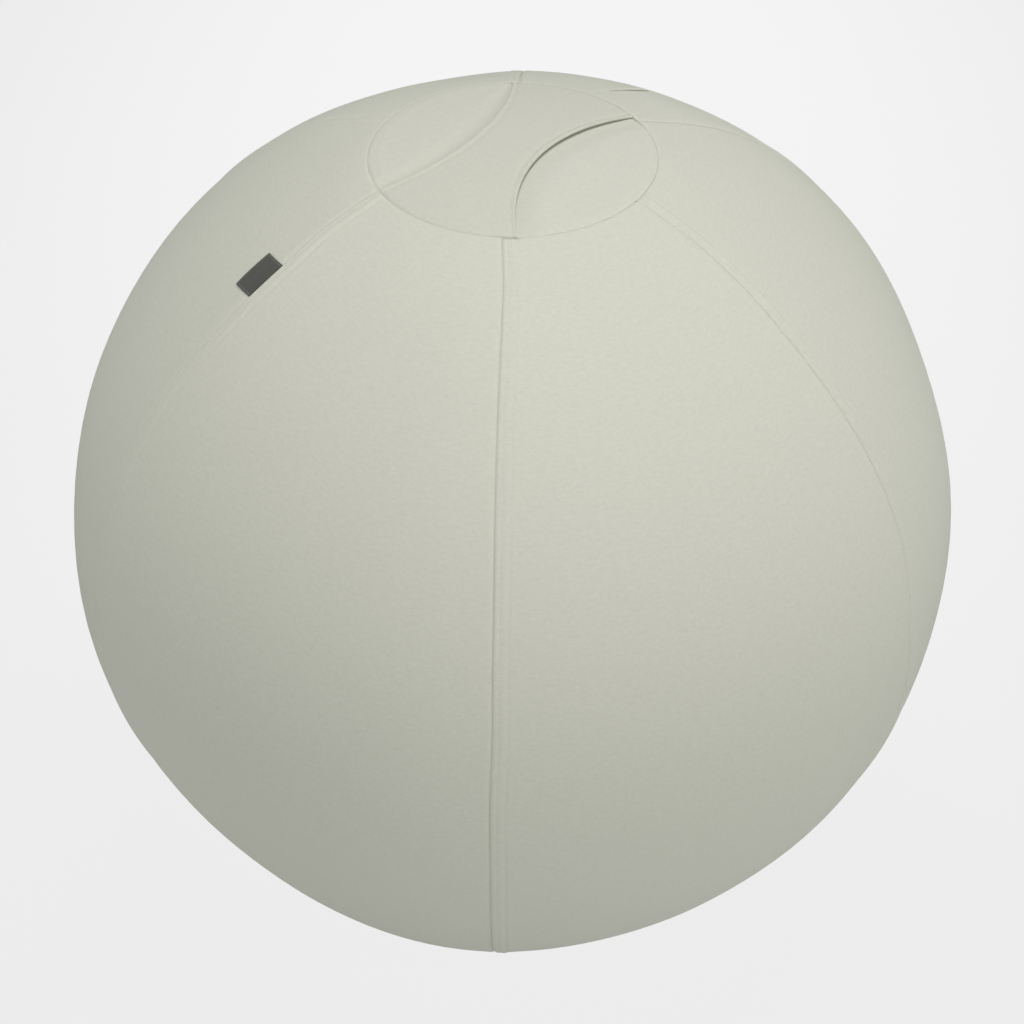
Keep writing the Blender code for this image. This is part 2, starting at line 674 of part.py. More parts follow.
def make_weight(fabric, sand, home):
    """A flat round pouch of sand lies in the dish of the base and keeps the ball from rolling off."""
    floor = COVER_THICKNESS + GAP
    rim = SAND_RADIUS + POUCH_HEM
    radii = [0] + even(FLOOR_PATCH_RADIUS, rim, DISC_RINGS - 1)
    top = [(r, dish_height(r, floor + POUCH_THICKNESS)) for r in radii]
    under = [(r, dish_height(r, floor)) for r in reversed(radii)]
    keep(turned(top + under, DISC_STEPS), "lower_pouch_panel", fabric, home)

    floor += POUCH_THICKNESS + GAP
    radii = even(0, SAND_RADIUS, DISC_RINGS)
    bed = [0] + even(FLOOR_PATCH_RADIUS, SAND_RADIUS, DISC_RINGS - 1)
    heap = [(r, sand_top(r)) for r in radii]
    under = [(r, dish_height(r, floor)) for r in reversed(bed)]
    keep(turned(heap + under, DISC_STEPS), "sand_fill", sand, home)

    low_rim = dish_height(rim, floor) + GAP
    inner = [(rim, low_rim)] + [(r, sand_top(r) + GAP) for r in reversed(radii)]
    outer = [(r, height + POUCH_THICKNESS) for r, height in reversed(inner)]
    keep(turned(outer + inner, DISC_STEPS), "upper_pouch_panel", fabric, home)


def main():
    for old in list(bpy.data.objects):
        bpy.data.objects.remove(old)
    home = collection("balance_ball_chair")
    cutters = collection("cutters")

    knit = material("sage knit cover", (0.56, 0.57, 0.47), 0.9)
    strap_knit = material("sage knit strap", (0.60, 0.61, 0.51), 0.9)
    grip = material("grey grip fabric", (0.22, 0.23, 0.21), 0.85)
    woven = material("dark woven label", (0.08, 0.08, 0.07), 0.8)
    tape = material("sage zip tape", (0.45, 0.46, 0.38), 0.85)
    nylon = material("sage zip coil", (0.40, 0.41, 0.34), 0.45)
    zinc = material("grey painted zinc", (0.25, 0.25, 0.23), 0.4, 0.6)
    vinyl = material("grey ball vinyl", (0.42, 0.43, 0.43), 0.5)
    seat_vinyl = material("dark valve vinyl", (0.12, 0.12, 0.12), 0.55)
    plug_plastic = material("white plug plastic", (0.8, 0.8, 0.78), 0.35)
    pouch = material("plain pouch cloth", (0.50, 0.49, 0.44), 0.9)
    sand = material("dry sand", (0.55, 0.47, 0.34), 0.95)

    for number in range(len(GORES)):
        make_gore(number, knit, home)
    make_discs(knit, grip, home)
    make_strap(strap_knit, home)
    make_label(woven, home)
    for side, name in ((-1, "left"), (1, "right")):
        make_tape(side, f"zip_tape_{name}", tape, home)
        make_coil(side, f"zip_coil_{name}", nylon, home)
    make_stops(zinc, home)
    slider = make_slider(zinc, home, cutters)
    make_pull(slider, zinc, home, cutters)
    make_inner_ball(vinyl, home, cutters)
    make_valve(seat_vinyl, plug_plastic, home)
    make_weight(pouch, sand, home)


main()
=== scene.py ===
# %% [markdown]
# # Balance ball chair
# A sitting ball is an inflated ball in a fitted cover. The cover is sewn from six gores and two
# round discs, a carry strap lies over the top, and a zip at the back lets the ball in. In this
# lesson the cloth, the thread, the zip and the ball get the fine shape and the finish that the
# plain solids lack. The solids are the frame: each new piece stands where the frame says, and
# most ride on one of its bodies.

# %% Load the frame
import json
import math

import bpy
import numpy as np
from mathutils import Matrix, Vector


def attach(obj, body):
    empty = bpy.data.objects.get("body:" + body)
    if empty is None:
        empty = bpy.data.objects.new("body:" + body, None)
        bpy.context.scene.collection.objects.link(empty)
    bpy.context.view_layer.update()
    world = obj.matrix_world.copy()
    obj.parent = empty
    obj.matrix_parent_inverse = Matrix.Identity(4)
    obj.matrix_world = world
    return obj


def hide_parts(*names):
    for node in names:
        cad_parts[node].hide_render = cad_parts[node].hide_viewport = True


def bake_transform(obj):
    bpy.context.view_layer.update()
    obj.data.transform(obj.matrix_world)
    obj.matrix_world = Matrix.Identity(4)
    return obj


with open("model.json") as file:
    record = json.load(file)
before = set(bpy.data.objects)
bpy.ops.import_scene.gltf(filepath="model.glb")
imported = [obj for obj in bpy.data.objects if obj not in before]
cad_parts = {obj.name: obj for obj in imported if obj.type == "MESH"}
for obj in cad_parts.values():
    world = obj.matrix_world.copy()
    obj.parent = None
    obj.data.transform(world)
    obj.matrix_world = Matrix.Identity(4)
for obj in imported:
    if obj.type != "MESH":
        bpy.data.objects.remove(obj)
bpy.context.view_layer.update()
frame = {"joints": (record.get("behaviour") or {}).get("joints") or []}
joints = {joint["name"]: joint for joint in frame["joints"]}
MM = 0.001

# %% [markdown]
# ## Small tools
# A few steps return for every piece: picking one object, applying its modifiers, putting its place
# into its mesh, and building a material from nodes. They are written once here, so that the cells
# below only say what is special about each piece. Colours are written as on a paint card, in sRGB,
# and one function turns them into the linear numbers that the shader wants.

# %% Pick, apply and finish


def pick(*objects):
    """Selects only these objects. The first one is active."""
    bpy.ops.object.select_all(action="DESELECT")
    for obj in objects:
        obj.select_set(True)
    bpy.context.view_layer.objects.active = objects[0]
    return objects[0]


def added(primitive, **settings):
    """Adds one of Blender's primitives with nothing else selected."""
    bpy.ops.object.select_all(action="DESELECT")
    primitive(**settings)
    return bpy.context.object


def joined(*parts):
    pick(*parts)
    bpy.ops.object.join()
    return bpy.context.object


def apply_all(obj):
    pick(obj)
    for modifier in list(obj.modifiers):
        bpy.ops.object.modifier_apply(modifier=modifier.name)
    return obj


def into_mesh(obj, place=None):
    """Puts an object's place into its mesh, so that the object itself sits at the origin."""
    bpy.context.view_layer.update()
    obj.data.transform((place or Matrix.Identity(4)) @ obj.matrix_world)
    obj.matrix_world = Matrix.Identity(4)
    return obj


def outwards(obj, merge=0.000005):
    """Merges doubles and turns all faces out."""
    pick(obj)
    bpy.ops.object.mode_set(mode="EDIT")
    bpy.ops.mesh.select_all(action="SELECT")
    bpy.ops.mesh.remove_doubles(threshold=merge)
    bpy.ops.mesh.normals_make_consistent(inside=False)
    bpy.ops.object.mode_set(mode="OBJECT")
    return obj


def facing(obj, up=True):
    """Turns all faces over if, taken together, they look the other way."""
    if (np.mean([face.normal.z for face in obj.data.polygons]) > 0) != up:
        obj.data.flip_normals()
    return obj


def smooth_shade(obj, sharp):
    """Smooth faces, with a sharp edge wherever two meet at a larger angle than this."""
    pick(obj)
    bpy.ops.object.shade_smooth_by_angle(angle=math.radians(sharp))
    return obj


def finish(obj, name, material, body="root", nodes=()):
    """Names a piece, paints it, and makes it ride on its body in place of its CAD nodes."""
    obj.name = obj.data.name = name
    obj.data.materials.clear()
    obj.data.materials.append(material)
    if body:
        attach(obj, body)
    if nodes:
        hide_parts(*nodes)
    print(name, len(obj.data.polygons), "faces")
    return obj


def points_of(mesh):
    flat = np.empty(len(mesh.vertices) * 3)
    mesh.vertices.foreach_get("co", flat)
    return flat.reshape(-1, 3)


def set_points(mesh, points):
    mesh.vertices.foreach_set("co", np.asarray(points, float).ravel())
    mesh.update()


def map_cloth(obj, uv):
    """Lays the UV map over a piece. It has one row for each vertex, in metres of cloth."""
    layer = obj.data.uv_layers[0] if obj.data.uv_layers else obj.data.uv_layers.new(name="UVMap")
    corners = np.empty(len(obj.data.loops), int)
    obj.data.loops.foreach_get("vertex_index", corners)
    layer.data.foreach_set("uv", uv[corners].ravel())
    return obj


def plan_uv(obj):
    """Lays the UV map flat over a piece, as it is seen from above."""
    return map_cloth(obj, points_of(obj.data)[:, :2])


def cloth_grid(points, uv):
    """A grid primitive with its crossings moved to points. Both points and uv hold one row of
    crossings after another."""
    cells = {"x_subdivisions": uv.shape[1] - 1, "y_subdivisions": uv.shape[0] - 1}
    obj = added(bpy.ops.mesh.primitive_grid_add, size=2, **cells)
    set_points(obj.data, points)
    return map_cloth(obj, uv.reshape(-1, 2))


def walled(obj, thickness, offset=-1):
    """Gives an open cloth surface its thickness, on the inner side unless told otherwise."""
    wall = obj.modifiers.new("wall", "SOLIDIFY")
    wall.thickness = thickness
    wall.offset = offset
    return apply_all(obj)


def smooth(share):
    """Eases from 0 to 1."""
    share = np.clip(share, 0, 1)
    return share * share * (3 - 2 * share)


# %% Colours and nodes


def linear(hex_colour):
    """An sRGB hex colour as linear red, green, blue and alpha."""
    parts = [int(hex_colour[i : i + 2], 16) / 255 for i in (1, 3, 5)]
    return (*[c / 12.92 if c <= 0.04045 else ((c + 0.055) / 1.055) ** 2.4 for c in parts], 1)


def node(tree, kind, inputs=None, **settings):
    """Adds a node with its settings. Each input, named or numbered, gets a value, or a link from
    another node's socket or from its first output."""
    made = tree.nodes.new(kind)
    for name, value in settings.items():
        setattr(made, name, value)
    for name, value in (inputs or {}).items():
        if isinstance(value, bpy.types.Node):
            value = value.outputs[0]
        if isinstance(value, bpy.types.NodeSocket):
            tree.links.new(value, made.inputs[name])
        else:
            made.inputs[name].default_value = value
    return made


def maths(tree, operation, *values):
    """A maths node. Its values are numbers, sockets or nodes, in the order of its inputs."""
    return node(tree, "ShaderNodeMath", dict(enumerate(values)), operation=operation)


def noise(tree, place, scale=1.0, detail=2.0):
    return node(tree, "ShaderNodeTexNoise", {"Vector": place, "Scale": scale, "Detail": detail})


def stretched(tree, place, scale):
    return node(tree, "ShaderNodeMapping", {"Vector": place, "Scale": scale})


def paint(tree, shader, share, dark, light):
    """Colours a shader with a mix, where a share of 0 is all dark and 1 is all light."""
    mix = node(tree, "ShaderNodeMix", {0: share, 6: dark, 7: light}, data_type="RGBA")
    tree.links.new(mix.outputs[2], shader.inputs["Base Color"])


def emboss(tree, shader, height, strength, depth):
    """Gives a shader a relief that is this deep."""
    inputs = {"Height": height, "Strength": strength, "Distance": depth}
    tree.links.new(node(tree, "ShaderNodeBump", inputs).outputs[0], shader.inputs["Normal"])


def new_material(name, hex_colour, roughness, **shader_values):
    """A material with its shader's constants set. Patterns are linked in afterwards."""
    made = bpy.data.materials.new(name)
    made.use_nodes = True
    made.diffuse_color = linear(hex_colour)
    shader = made.node_tree.nodes["Principled BSDF"]
    shader.inputs["Base Color"].default_value = linear(hex_colour)
    shader.inputs["Roughness"].default_value = roughness
    for socket, value in shader_values.items():
        shader.inputs[socket.replace("_", " ")].default_value = value
    return made, made.node_tree, shader


# %% [markdown]
# ## Where the cover's surface is
# The ball is 65 cm across and stands on a flat patch, so its middle is a little lower than its
# radius. The frame tells us that middle: the zip's slider turns about it. The cover stands 3 mm
# proud at each of the six seams, where the cloth is doubled, and sinks 2 mm halfway between them.
# One formula gives its distance from the middle at any azimuth and latitude, and every piece of
# the cover uses it. No real cover is that even: it is a few millimetres fuller or flatter in
# places, its seams wander, most of all beside the label, and the left and the right gore fall away
# beside the front ones. All this is added as soft bumps, whose sizes were measured in the
# photograph.

# %% The cover's sizes
BALL_RADIUS = 325 * MM
SEAM_RIDGE = 3 * MM
GORE_DIP = 2 * MM
RIDGE_SHARPNESS = 1.3
RIDGE_FULL_LATITUDE = math.radians(52)
GORES = ("front_right", "right", "back_right", "back_left", "left", "front_left")
GORE_ANGLE = 2 * math.pi / len(GORES)
COVER_THICKNESS = 1.2 * MM
DISC_RADIUS = 96.5 * MM
DISC_LATITUDE = math.acos(DISC_RADIUS / BALL_RADIUS)
CENTRE_HEIGHT = joints["zip_travel"]["pos_m"][2]
DISC_HEIGHT = CENTRE_HEIGHT + BALL_RADIUS * math.sin(DISC_LATITUDE)
ZIP_TOP_LATITUDE = math.radians(6)
ZIP_LENGTH = 318 * MM
ZIP_BOTTOM_LATITUDE = ZIP_TOP_LATITUDE - ZIP_LENGTH / (BALL_RADIUS + SEAM_RIDGE)
ZIP_END_TAPER = math.radians(1.8)
ZIP_SEAM = 2
SLOT_HALF_WIDTH = 4.45 * MM
GAP = 0.3 * MM
LABEL_SEAM = 4
LABEL_LATITUDE = DISC_LATITUDE - 94.3 * MM / BALL_RADIUS
SEAM_BOW = 6.3 * MM
SEAM_BOW_LATITUDE = LABEL_LATITUDE - 20 * MM / BALL_RADIUS
SEAM_BOW_REACH = 56.7 * MM
SEAM_WANDER = {  # for each seam, latitudes and reaches in degrees, and millimetres to the right
    0: [(72, 6, -2.0), (49, 18, -7.2), (8, 9, -4.5)],
    1: [(20, 14, 1.5), (-25, 12, -1.2)],
    3: [(40, 12, -1.3), (-5, 14, 1.6)],
    4: [(74, 6, -3.0)],
    5: [(74, 6, -3.0), (52, 9, -0.4), (27, 10, 0.8), (15, 6, 1.1), (-30, 14, -1.5)],
}
FULLNESS = [  # azimuths and latitudes in degrees, and millimetres outwards
    (84, 8, 2.9), (108, 35, 2.8), (125, 47, 0.6), (149, 57, 4.7), (183, 61, -2.9), (216, 57, 2.0),
    (240, 47, -1.5), (257, 35, 1.9), (270, 21, 2.6), (281, 8, 1.3), (293, -6, 0.5),
    (306, -18, -2.4), (322, -28, 0.5), (341, -35, 4.0), (3, -38, -0.4), (24, -35, 2.9),
    (43, -28, 1.1), (59, -18, -1.9), (72, -6, -1.2),
]  # fmt: skip
FULLNESS_REACH = math.radians(10)
FULLNESS_END = math.radians(64)
FULLNESS_FADE = math.radians(7.5)
SHOULDERS = [(0, 1, 2.6 * MM), (LABEL_SEAM, -1, 3.0 * MM)]  # seam, side of it and drop
SHOULDER_WIDTH = 22 * MM
SHOULDER_REACH = 75 * MM
SHOULDER_LATITUDES = np.radians([22, 62])  # full from here to there
SHOULDER_FADE = math.radians(9)


def on_ball(azimuth, latitude, radius):
    """Points at this distance from the ball's middle. Azimuth 0 is the front seam, towards -Y."""
    flat = radius * np.cos(latitude)
    height = CENTRE_HEIGHT + radius * np.sin(latitude)
    return np.stack([flat * np.sin(azimuth), -flat * np.cos(azimuth), height], -1)


def fullness(azimuth, latitude):
    """How much further out the cover is than its even shape. It ends before the two discs."""
    out = 0
    for turn, height, size in FULLNESS:
        turn, height = math.radians(turn), math.radians(height)
        level = np.cos(latitude) * math.cos(height) * np.cos(azimuth - turn)
        nearness = np.sin(latitude) * math.sin(height) + level
        out = out + size * MM * np.exp((nearness - 1) / FULLNESS_REACH**2)
    return out * (1 - smooth((np.abs(latitude) - FULLNESS_END) / FULLNESS_FADE))


def shoulder(azimuth, latitude):
    """How far the left and the right gore fall away beside the front gores' seams."""
    drop = 0
    for seam, side, size in SHOULDERS:
        turn = (azimuth - (seam + 1) * GORE_ANGLE) * side
        turn = np.maximum(np.arctan2(np.sin(turn), np.cos(turn)), 0)
        away = turn * BALL_RADIUS * np.cos(latitude)
        share = (1 - np.exp(-away / SHOULDER_WIDTH)) * np.exp(-((away / SHOULDER_REACH) ** 2))
        drop = drop + size * share
    low, high = SHOULDER_LATITUDES
    return drop * smooth(latitude / low) * (1 - smooth((latitude - high) / SHOULDER_FADE))


def cover_radius(azimuth, latitude):
    ridge = ((1 + np.cos(len(GORES) * azimuth)) / 2) ** RIDGE_SHARPNESS
    beyond = (np.abs(latitude) - RIDGE_FULL_LATITUDE) / (DISC_LATITUDE - RIDGE_FULL_LATITUDE)
    even = (ridge * (SEAM_RIDGE + GORE_DIP) - GORE_DIP) * (1 - smooth(beyond))
    return BALL_RADIUS + even + fullness(azimuth, latitude) - shoulder(azimuth, latitude)


def wander(seam, latitude):
    """How far a seam strays from its plane, towards larger azimuths."""
    seam = seam % len(GORES)
    share = (latitude - SEAM_BOW_LATITUDE) * BALL_RADIUS / SEAM_BOW_REACH
    stray = SEAM_BOW * np.exp(-(share**4)) * (seam == LABEL_SEAM)
    for height, reach, size in SEAM_WANDER.get(seam, []):
        stray = stray + size * MM * np.exp(-(((np.degrees(latitude) - height) / reach) ** 2))
    return stray


def slot_share(latitude):
    """1 along the zip, where the gores leave a slot, easing to 0 beyond its ends."""
    above = (latitude - ZIP_TOP_LATITUDE) / ZIP_END_TAPER
    below = (ZIP_BOTTOM_LATITUDE - latitude) / ZIP_END_TAPER
    return 1 - smooth(np.maximum(above, below))


def setback(seam, latitude):
    """How far a gore's edge keeps from the seam's plane."""
    if seam % len(GORES) != ZIP_SEAM:
        return np.full_like(latitude, GAP / 2)
    return GAP / 2 + (SLOT_HALF_WIDTH - GAP / 2) * slot_share(latitude)


print("ball's middle is", round(CENTRE_HEIGHT, 4), "m up, top seam at", round(DISC_HEIGHT, 4), "m")

# %% [markdown]
# ## Knitted cover cloth
# The real cover is a double-knit polyester in two close sage greens. Single loops are under a
# millimetre wide, so from a step away the eye only gets a soft, dry surface with a faint mottle.
# The loops are drawn 1.4 mm wide here, a little coarser than they are, so that they show at all.
# The colour comes from two noises: one for the yarn's mottle and one for long streaks along the
# courses. The UV map is in metres of cloth, so the loops follow each gore as if it had been cut
# from a roll.

# %% Knit material
LOOP_WIDTH = 1.4 * MM
LOOP_HEIGHT = 1.1 * MM
MOTTLE_SIZE = 2.6 * MM
STREAK_LENGTH = 7 * MM
STREAK_WIDTH = 1.2 * MM
YARN_RANGE = 0.72, 1.28  # what the two noises' sum spans between the dark and the light yarn
RIB_SHARE, FURROW_DEPTH = 0.5, 1.6
KNIT_BUMP, KNIT_RELIEF = 0.16, 0.12 * MM


def knit_material(name, light, dark):
    """Double-knit polyester, matt with a faint fuzz that lightens its edges."""
    made, tree, shader = new_material(
        name, light, 0.93, Sheen_Weight=0.12, Sheen_Roughness=0.55, Specular_IOR_Level=0.18
    )
    cloth = node(tree, "ShaderNodeTexCoord").outputs["UV"]
    scale = (1 / LOOP_WIDTH, 1 / LOOP_HEIGHT, 1)
    loops = stretched(tree, cloth, scale)
    place = node(tree, "ShaderNodeSeparateXYZ", {0: loops})
    across = maths(tree, "FRACT", place.outputs[0])
    wale = maths(tree, "ABSOLUTE", maths(tree, "SUBTRACT", across, 0.5))
    course = maths(tree, "ADD", place.outputs[1], wale)
    ribs = maths(tree, "SINE", maths(tree, "MULTIPLY", course, 2 * math.pi))
    furrow = maths(tree, "MULTIPLY", wale, FURROW_DEPTH)
    height = maths(tree, "MULTIPLY_ADD", ribs, RIB_SHARE, furrow)

    spots = stretched(tree, cloth, (1 / MOTTLE_SIZE,) * 3)
    mottle = noise(tree, spots, detail=3.0)
    scale = (1 / STREAK_LENGTH, 1 / STREAK_WIDTH, 1)
    lines = stretched(tree, cloth, scale)
    streaks = noise(tree, lines)
    both = maths(tree, "ADD", mottle, streaks)
    span = {"Value": both, "From Min": YARN_RANGE[0], "From Max": YARN_RANGE[1]}
    share = node(tree, "ShaderNodeMapRange", span)
    paint(tree, shader, share, linear(dark), linear(light))
    emboss(tree, shader, height, KNIT_BUMP, KNIT_RELIEF)
    return made


cover_knit = knit_material("sage double knit polyester", "#D5D6C8", "#CFD0C2")
strap_knit = knit_material("sage double knit polyester, two layers", "#D1D2C4", "#CBCCBE")

# %% [markdown]
# ## Cover gores
# A gore is one lens-shaped cut of cloth, 34 cm across at the ball's waist. At its first edge the
# cloth is folded, laid over the seam allowances and stitched down twice, which makes a raised band
# 10 mm wide with a pillow between the two rows of stitches. Its other edge dives under the next
# gore's fold. It could be cut from a sphere, but the seam needs its own columns of points, down to
# a fifth of a millimetre apart. So a flat grid is taken, and its points are carried onto the ball
# by the formula: columns close together at the seams and rows half a stitch apart, so that each
# stitch can pucker. The back right gore also has a small fold behind the strap's end, where spare
# cloth is pushed up.

# %% The gore's columns
STITCH_PITCH = 3.5 * MM
ROW_STEP = STITCH_PITCH / 2
BAND_PROFILE = [  # millimetres from the fold, and height above the cover
    (0.20, -0.85), (0.26, -0.55), (0.5, -0.15), (0.9, 0.22), (1.4, 0.47), (2.0, 0.62), (2.6, 0.66),
    (3.1, 0.58), (3.6, 0.44), (4.3, 0.56), (5.3, 0.74), (6.6, 0.84), (7.8, 0.80), (8.8, 0.50),
    (9.7, 0.0), (10.3, 0.10), (11.0, 0.24), (12.2, 0.24), (14.0, 0.10), (17.0, 0.0),
]  # fmt: skip
STITCH_COLUMNS = (8, 14)
UNDER_PROFILE = [  # millimetres from the seam, and height, where it dives under the next fold
    (-12.0, 0.0), (-6.5, 0.05), (-4.0, 0.18), (-2.5, 0.22), (-1.6, 0.10), (-1.0, -0.12),
    (-0.45, -0.36), (0.0, -0.52), (1.2, -0.82), (4.0, -1.0), (7.5, -1.0),
]  # fmt: skip
LIP_PROFILE = [  # the same columns along the zip, where the edge is a plain folded lip
    (-12.0, 0.0), (-6.5, 0.05), (-4.0, 0.05), (-2.4, 0.03), (-1.4, -0.02), (-0.8, -0.12),
    (-0.4, -0.28), (-0.15, -0.5), (-0.05, -0.7), (0.0, -0.85), (0.0, -0.95),
]  # fmt: skip
MIDDLE_OFFSETS = [-9, -6.4, -4.4, -2.8, -1.8, -1.1, -0.6, -0.2, 0.2, 0.6, 1.4, 3.2, 6.4, 10]
FOLD_PROFILE = [  # the same columns where the cloth is folded over itself, and their heights
    (-9.0, 0.05), (-6.4, 0.30), (-4.4, 0.40), (-2.8, 0.15), (-1.2, -0.35), (0.5, -0.85),
    (1.2, -0.5), (0.6, 0.25), (-0.25, 0.75), (0.0, 1.25), (0.9, 1.5), (3.2, 1.4), (6.4, 0.95),
    (10.0, 0.45),
]  # fmt: skip
FOLD_AZIMUTH = ((0, 145.0), (64.4, 145.0), (72.7, 151.0))  # degrees of latitude and of azimuth
FOLD_START, FOLD_RISE = 59, 4  # degrees of latitude
FOLD_END, FOLD_FALL = 72.5, 9
FOLD_HEIGHT = 0.65
SIDE_CELLS = 9
EDGE_DIP = [  # millimetres from an edge, and how far the cloth turns down there
    (0.15, 0.72), (0.5, 0.52), (0.9, 0.32), (1.4, 0.15), (2.4, -0.05), (4.0, -0.05), (7.0, 0.0),
]  # fmt: skip
TIGHT_RIM, TIGHT_REACH = math.radians(-62), 0.09  # where the disc's seam is pulled in most
FLANGE = 2.4 * MM
SEAM_DITCH = {0: 0.65, 1: 0.5, 3: 0.6, 4: 0.7}  # depth of the ditch beside a seam's fold, else 1
SEAM_RELIEF = {0: 1.15, 4: 1.0, 5: 1.0}  # height of the front seams' bands
FLAT_START, FLAT_FADE, FLATTENED = 45, 10, 0.55  # from this latitude on the other bands are flatter
RIM_FADE = 3.5 * MM
PUCKER = -0.09 * MM, 0.05 * MM  # at a stitch's end, and in its middle
PUCKERED, PUCKER_BESIDE = range(4, 16), 0.6  # columns, and the share away from the stitches
SLIT_MIDDLE, SLIT_HALF = 5.6 * MM, 5.8 * MM
SLIT_DEPTH = [(0, 3.2), (1.2, 2.8), (1.3, 1.4), (1.8, 0)]  # millimetres from the edge, and depth


def gore_rows():
    """Latitudes of the rows, half a stitch apart, and closer where the edge turns down."""
    length = 2 * DISC_LATITUDE * (BALL_RADIUS + SEAM_RIDGE)
    steps = 2 * round(length / ROW_STEP / 2)
    even = np.linspace(-DISC_LATITUDE, DISC_LATITUDE, steps + 1)[1:-1]
    edge = DISC_LATITUDE - np.array([0.15, *[d for d, _ in EDGE_DIP[:4]]]) * MM / BALL_RADIUS
    return np.concatenate([-edge, even, edge[::-1]])


ROWS = gore_rows()
columns = len(BAND_PROFILE) + len(MIDDLE_OFFSETS) + len(UNDER_PROFILE) + 2 * SIDE_CELLS
print("rows:", len(ROWS), "columns:", columns)


def edge_dip(distance):
    """How far cloth turns down at a distance from an edge, both in metres."""
    return np.interp(distance, *(np.array(EDGE_DIP).T * MM))


def fold_share(latitude):
    """1 along the small fold behind the strap's end, easing to 0 beyond it."""
    height = np.degrees(latitude)
    return smooth((height - FOLD_START) / FOLD_RISE) * smooth((FOLD_END - height) / FOLD_FALL)


def seam_share(seam, latitude):
    """How much of a seam's relief is left. Away from the strap's front end it is pulled flatter."""
    if seam % len(GORES) in SEAM_RELIEF:
        return np.full_like(latitude, SEAM_RELIEF[seam % len(GORES)])
    return 1 - FLATTENED * smooth((np.degrees(latitude) - FLAT_START) / FLAT_FADE)


def rim_share(azimuth):
    """How much of the dip at the top disc's edge is left, from the front to the back."""
    tight = np.exp((np.cos(azimuth - TIGHT_RIM) - 1) / TIGHT_REACH)
    return 0.7 + 0.3 * np.cos(azimuth) + 0.5 * tight


# %% Make the six gores


def ditched(lift, seam):
    """A seam's profile, with only its own share of the depth below the cover."""
    deep = np.minimum(lift, 0)
    return lift - deep + deep * SEAM_DITCH.get(seam, 1)


def gore(number):
    """A gore's grid, from the columns of its stitched band to those under the next gore's fold."""
    latitude = ROWS[:, None]
    flat = BALL_RADIUS * np.cos(latitude)
    before, after = (number - 1) % len(GORES), number
    start = number * GORE_ANGLE + (wander(before, latitude) + setback(before, latitude)) / flat
    end = (number + 1) * GORE_ANGLE + (wander(after, latitude) - setback(after, latitude)) / flat
    middle = (number + 0.5) * GORE_ANGLE
    folded = GORES[number] == "back_right"
    fold_azimuth = np.interp(np.degrees(latitude), *np.array(FOLD_AZIMUTH).T)
    band = np.array(BAND_PROFILE).T * MM
    zipped = slot_share(latitude) * (number == ZIP_SEAM)
    under, lip = np.array(UNDER_PROFILE).T * MM, np.array(LIP_PROFILE).T * MM
    end_offset, end_lift = (a + (b - a) * zipped for a, b in zip(under, lip))
    inner = np.array(MIDDLE_OFFSETS) * MM + np.zeros_like(latitude)
    fold = np.array(FOLD_PROFILE).T * MM * folded
    inner = inner + (fold[0] - inner) * fold_share(latitude) * folded

    first = start + band[0] / flat
    centre = (np.radians(fold_azimuth) if folded else middle) + inner / flat
    last = end + end_offset / flat
    share = np.arange(1, SIDE_CELLS + 1) / (SIDE_CELLS + 1)
    left = first[:, -1:] + (centre[:, :1] - first[:, -1:]) * share
    right = centre[:, -1:] + (last[:, :1] - centre[:, -1:]) * share
    azimuth = np.concatenate([first, left, centre, right, last], 1)
    latitude = np.broadcast_to(latitude, azimuth.shape)

    lift = np.zeros_like(azimuth)
    lift[:, : len(band[1])] = ditched(band[1], before) * seam_share(before, latitude[:, :1])
    lift[:, -end_lift.shape[1] :] = ditched(end_lift, after)
    middles = slice(len(band[1]) + SIDE_CELLS, len(band[1]) + SIDE_CELLS + len(MIDDLE_OFFSETS))
    lift[:, middles] += FOLD_HEIGHT * fold[1] * fold_share(latitude[:, :1])
    # no seam is pulled equally tight all along
    tension = 0.55 + 0.45 * np.sin(latitude[:, 0] * 23 + number) * np.sin(latitude[:, 0] * 61)
    pucker = np.where(np.arange(len(ROWS)) % 2 == 1, *PUCKER) * tension
    for column in PUCKERED:
        lift[:, column] += pucker * (1.0 if column in STITCH_COLUMNS else PUCKER_BESIDE)
    rim = (DISC_LATITUDE - np.abs(latitude)) * BALL_RADIUS
    lift = np.where(lift > 0, lift * smooth(rim / RIM_FADE), lift)
    lift -= edge_dip(rim) * rim_share(azimuth)
    if number == 0:  # the strap's thick corner stands off the front band and leaves a dark slit
        aside = (azimuth - start) * flat - SLIT_MIDDLE
        slit = np.exp(-((aside / SLIT_HALF) ** 8)) * (latitude > 0)
        lift -= slit * np.interp(rim, *(np.array(SLIT_DEPTH).T * MM))
    lift[[0, -1]] -= FLANGE  # the seam allowance, turned in

    points = on_ball(azimuth, latitude, cover_radius(azimuth, latitude) + lift)
    uv = np.stack([(azimuth - middle) * flat, latitude * BALL_RADIUS], -1)
    made = smooth_shade(walled(cloth_grid(points, uv), COVER_THICKNESS), 60)
    name = GORES[number]
    finish(made, f"gore_{name}", cover_knit, nodes=[f"gore_panel_{name}"])
    return made


gores = [gore(number) for number in range(len(GORES))]

# %% [markdown]
# ## Topstitching
# Two rows of tone-on-tone lockstitch run down every seam band, eight stitches to 28 mm. Each
# stitch is a short strand of corespun polyester that lies in its own small groove. One stitch is
# shaped from a small sphere, and copied to its places with its own mesh. Each row of copies is
# then joined, so that a row is one thread, as it is on the real seam.

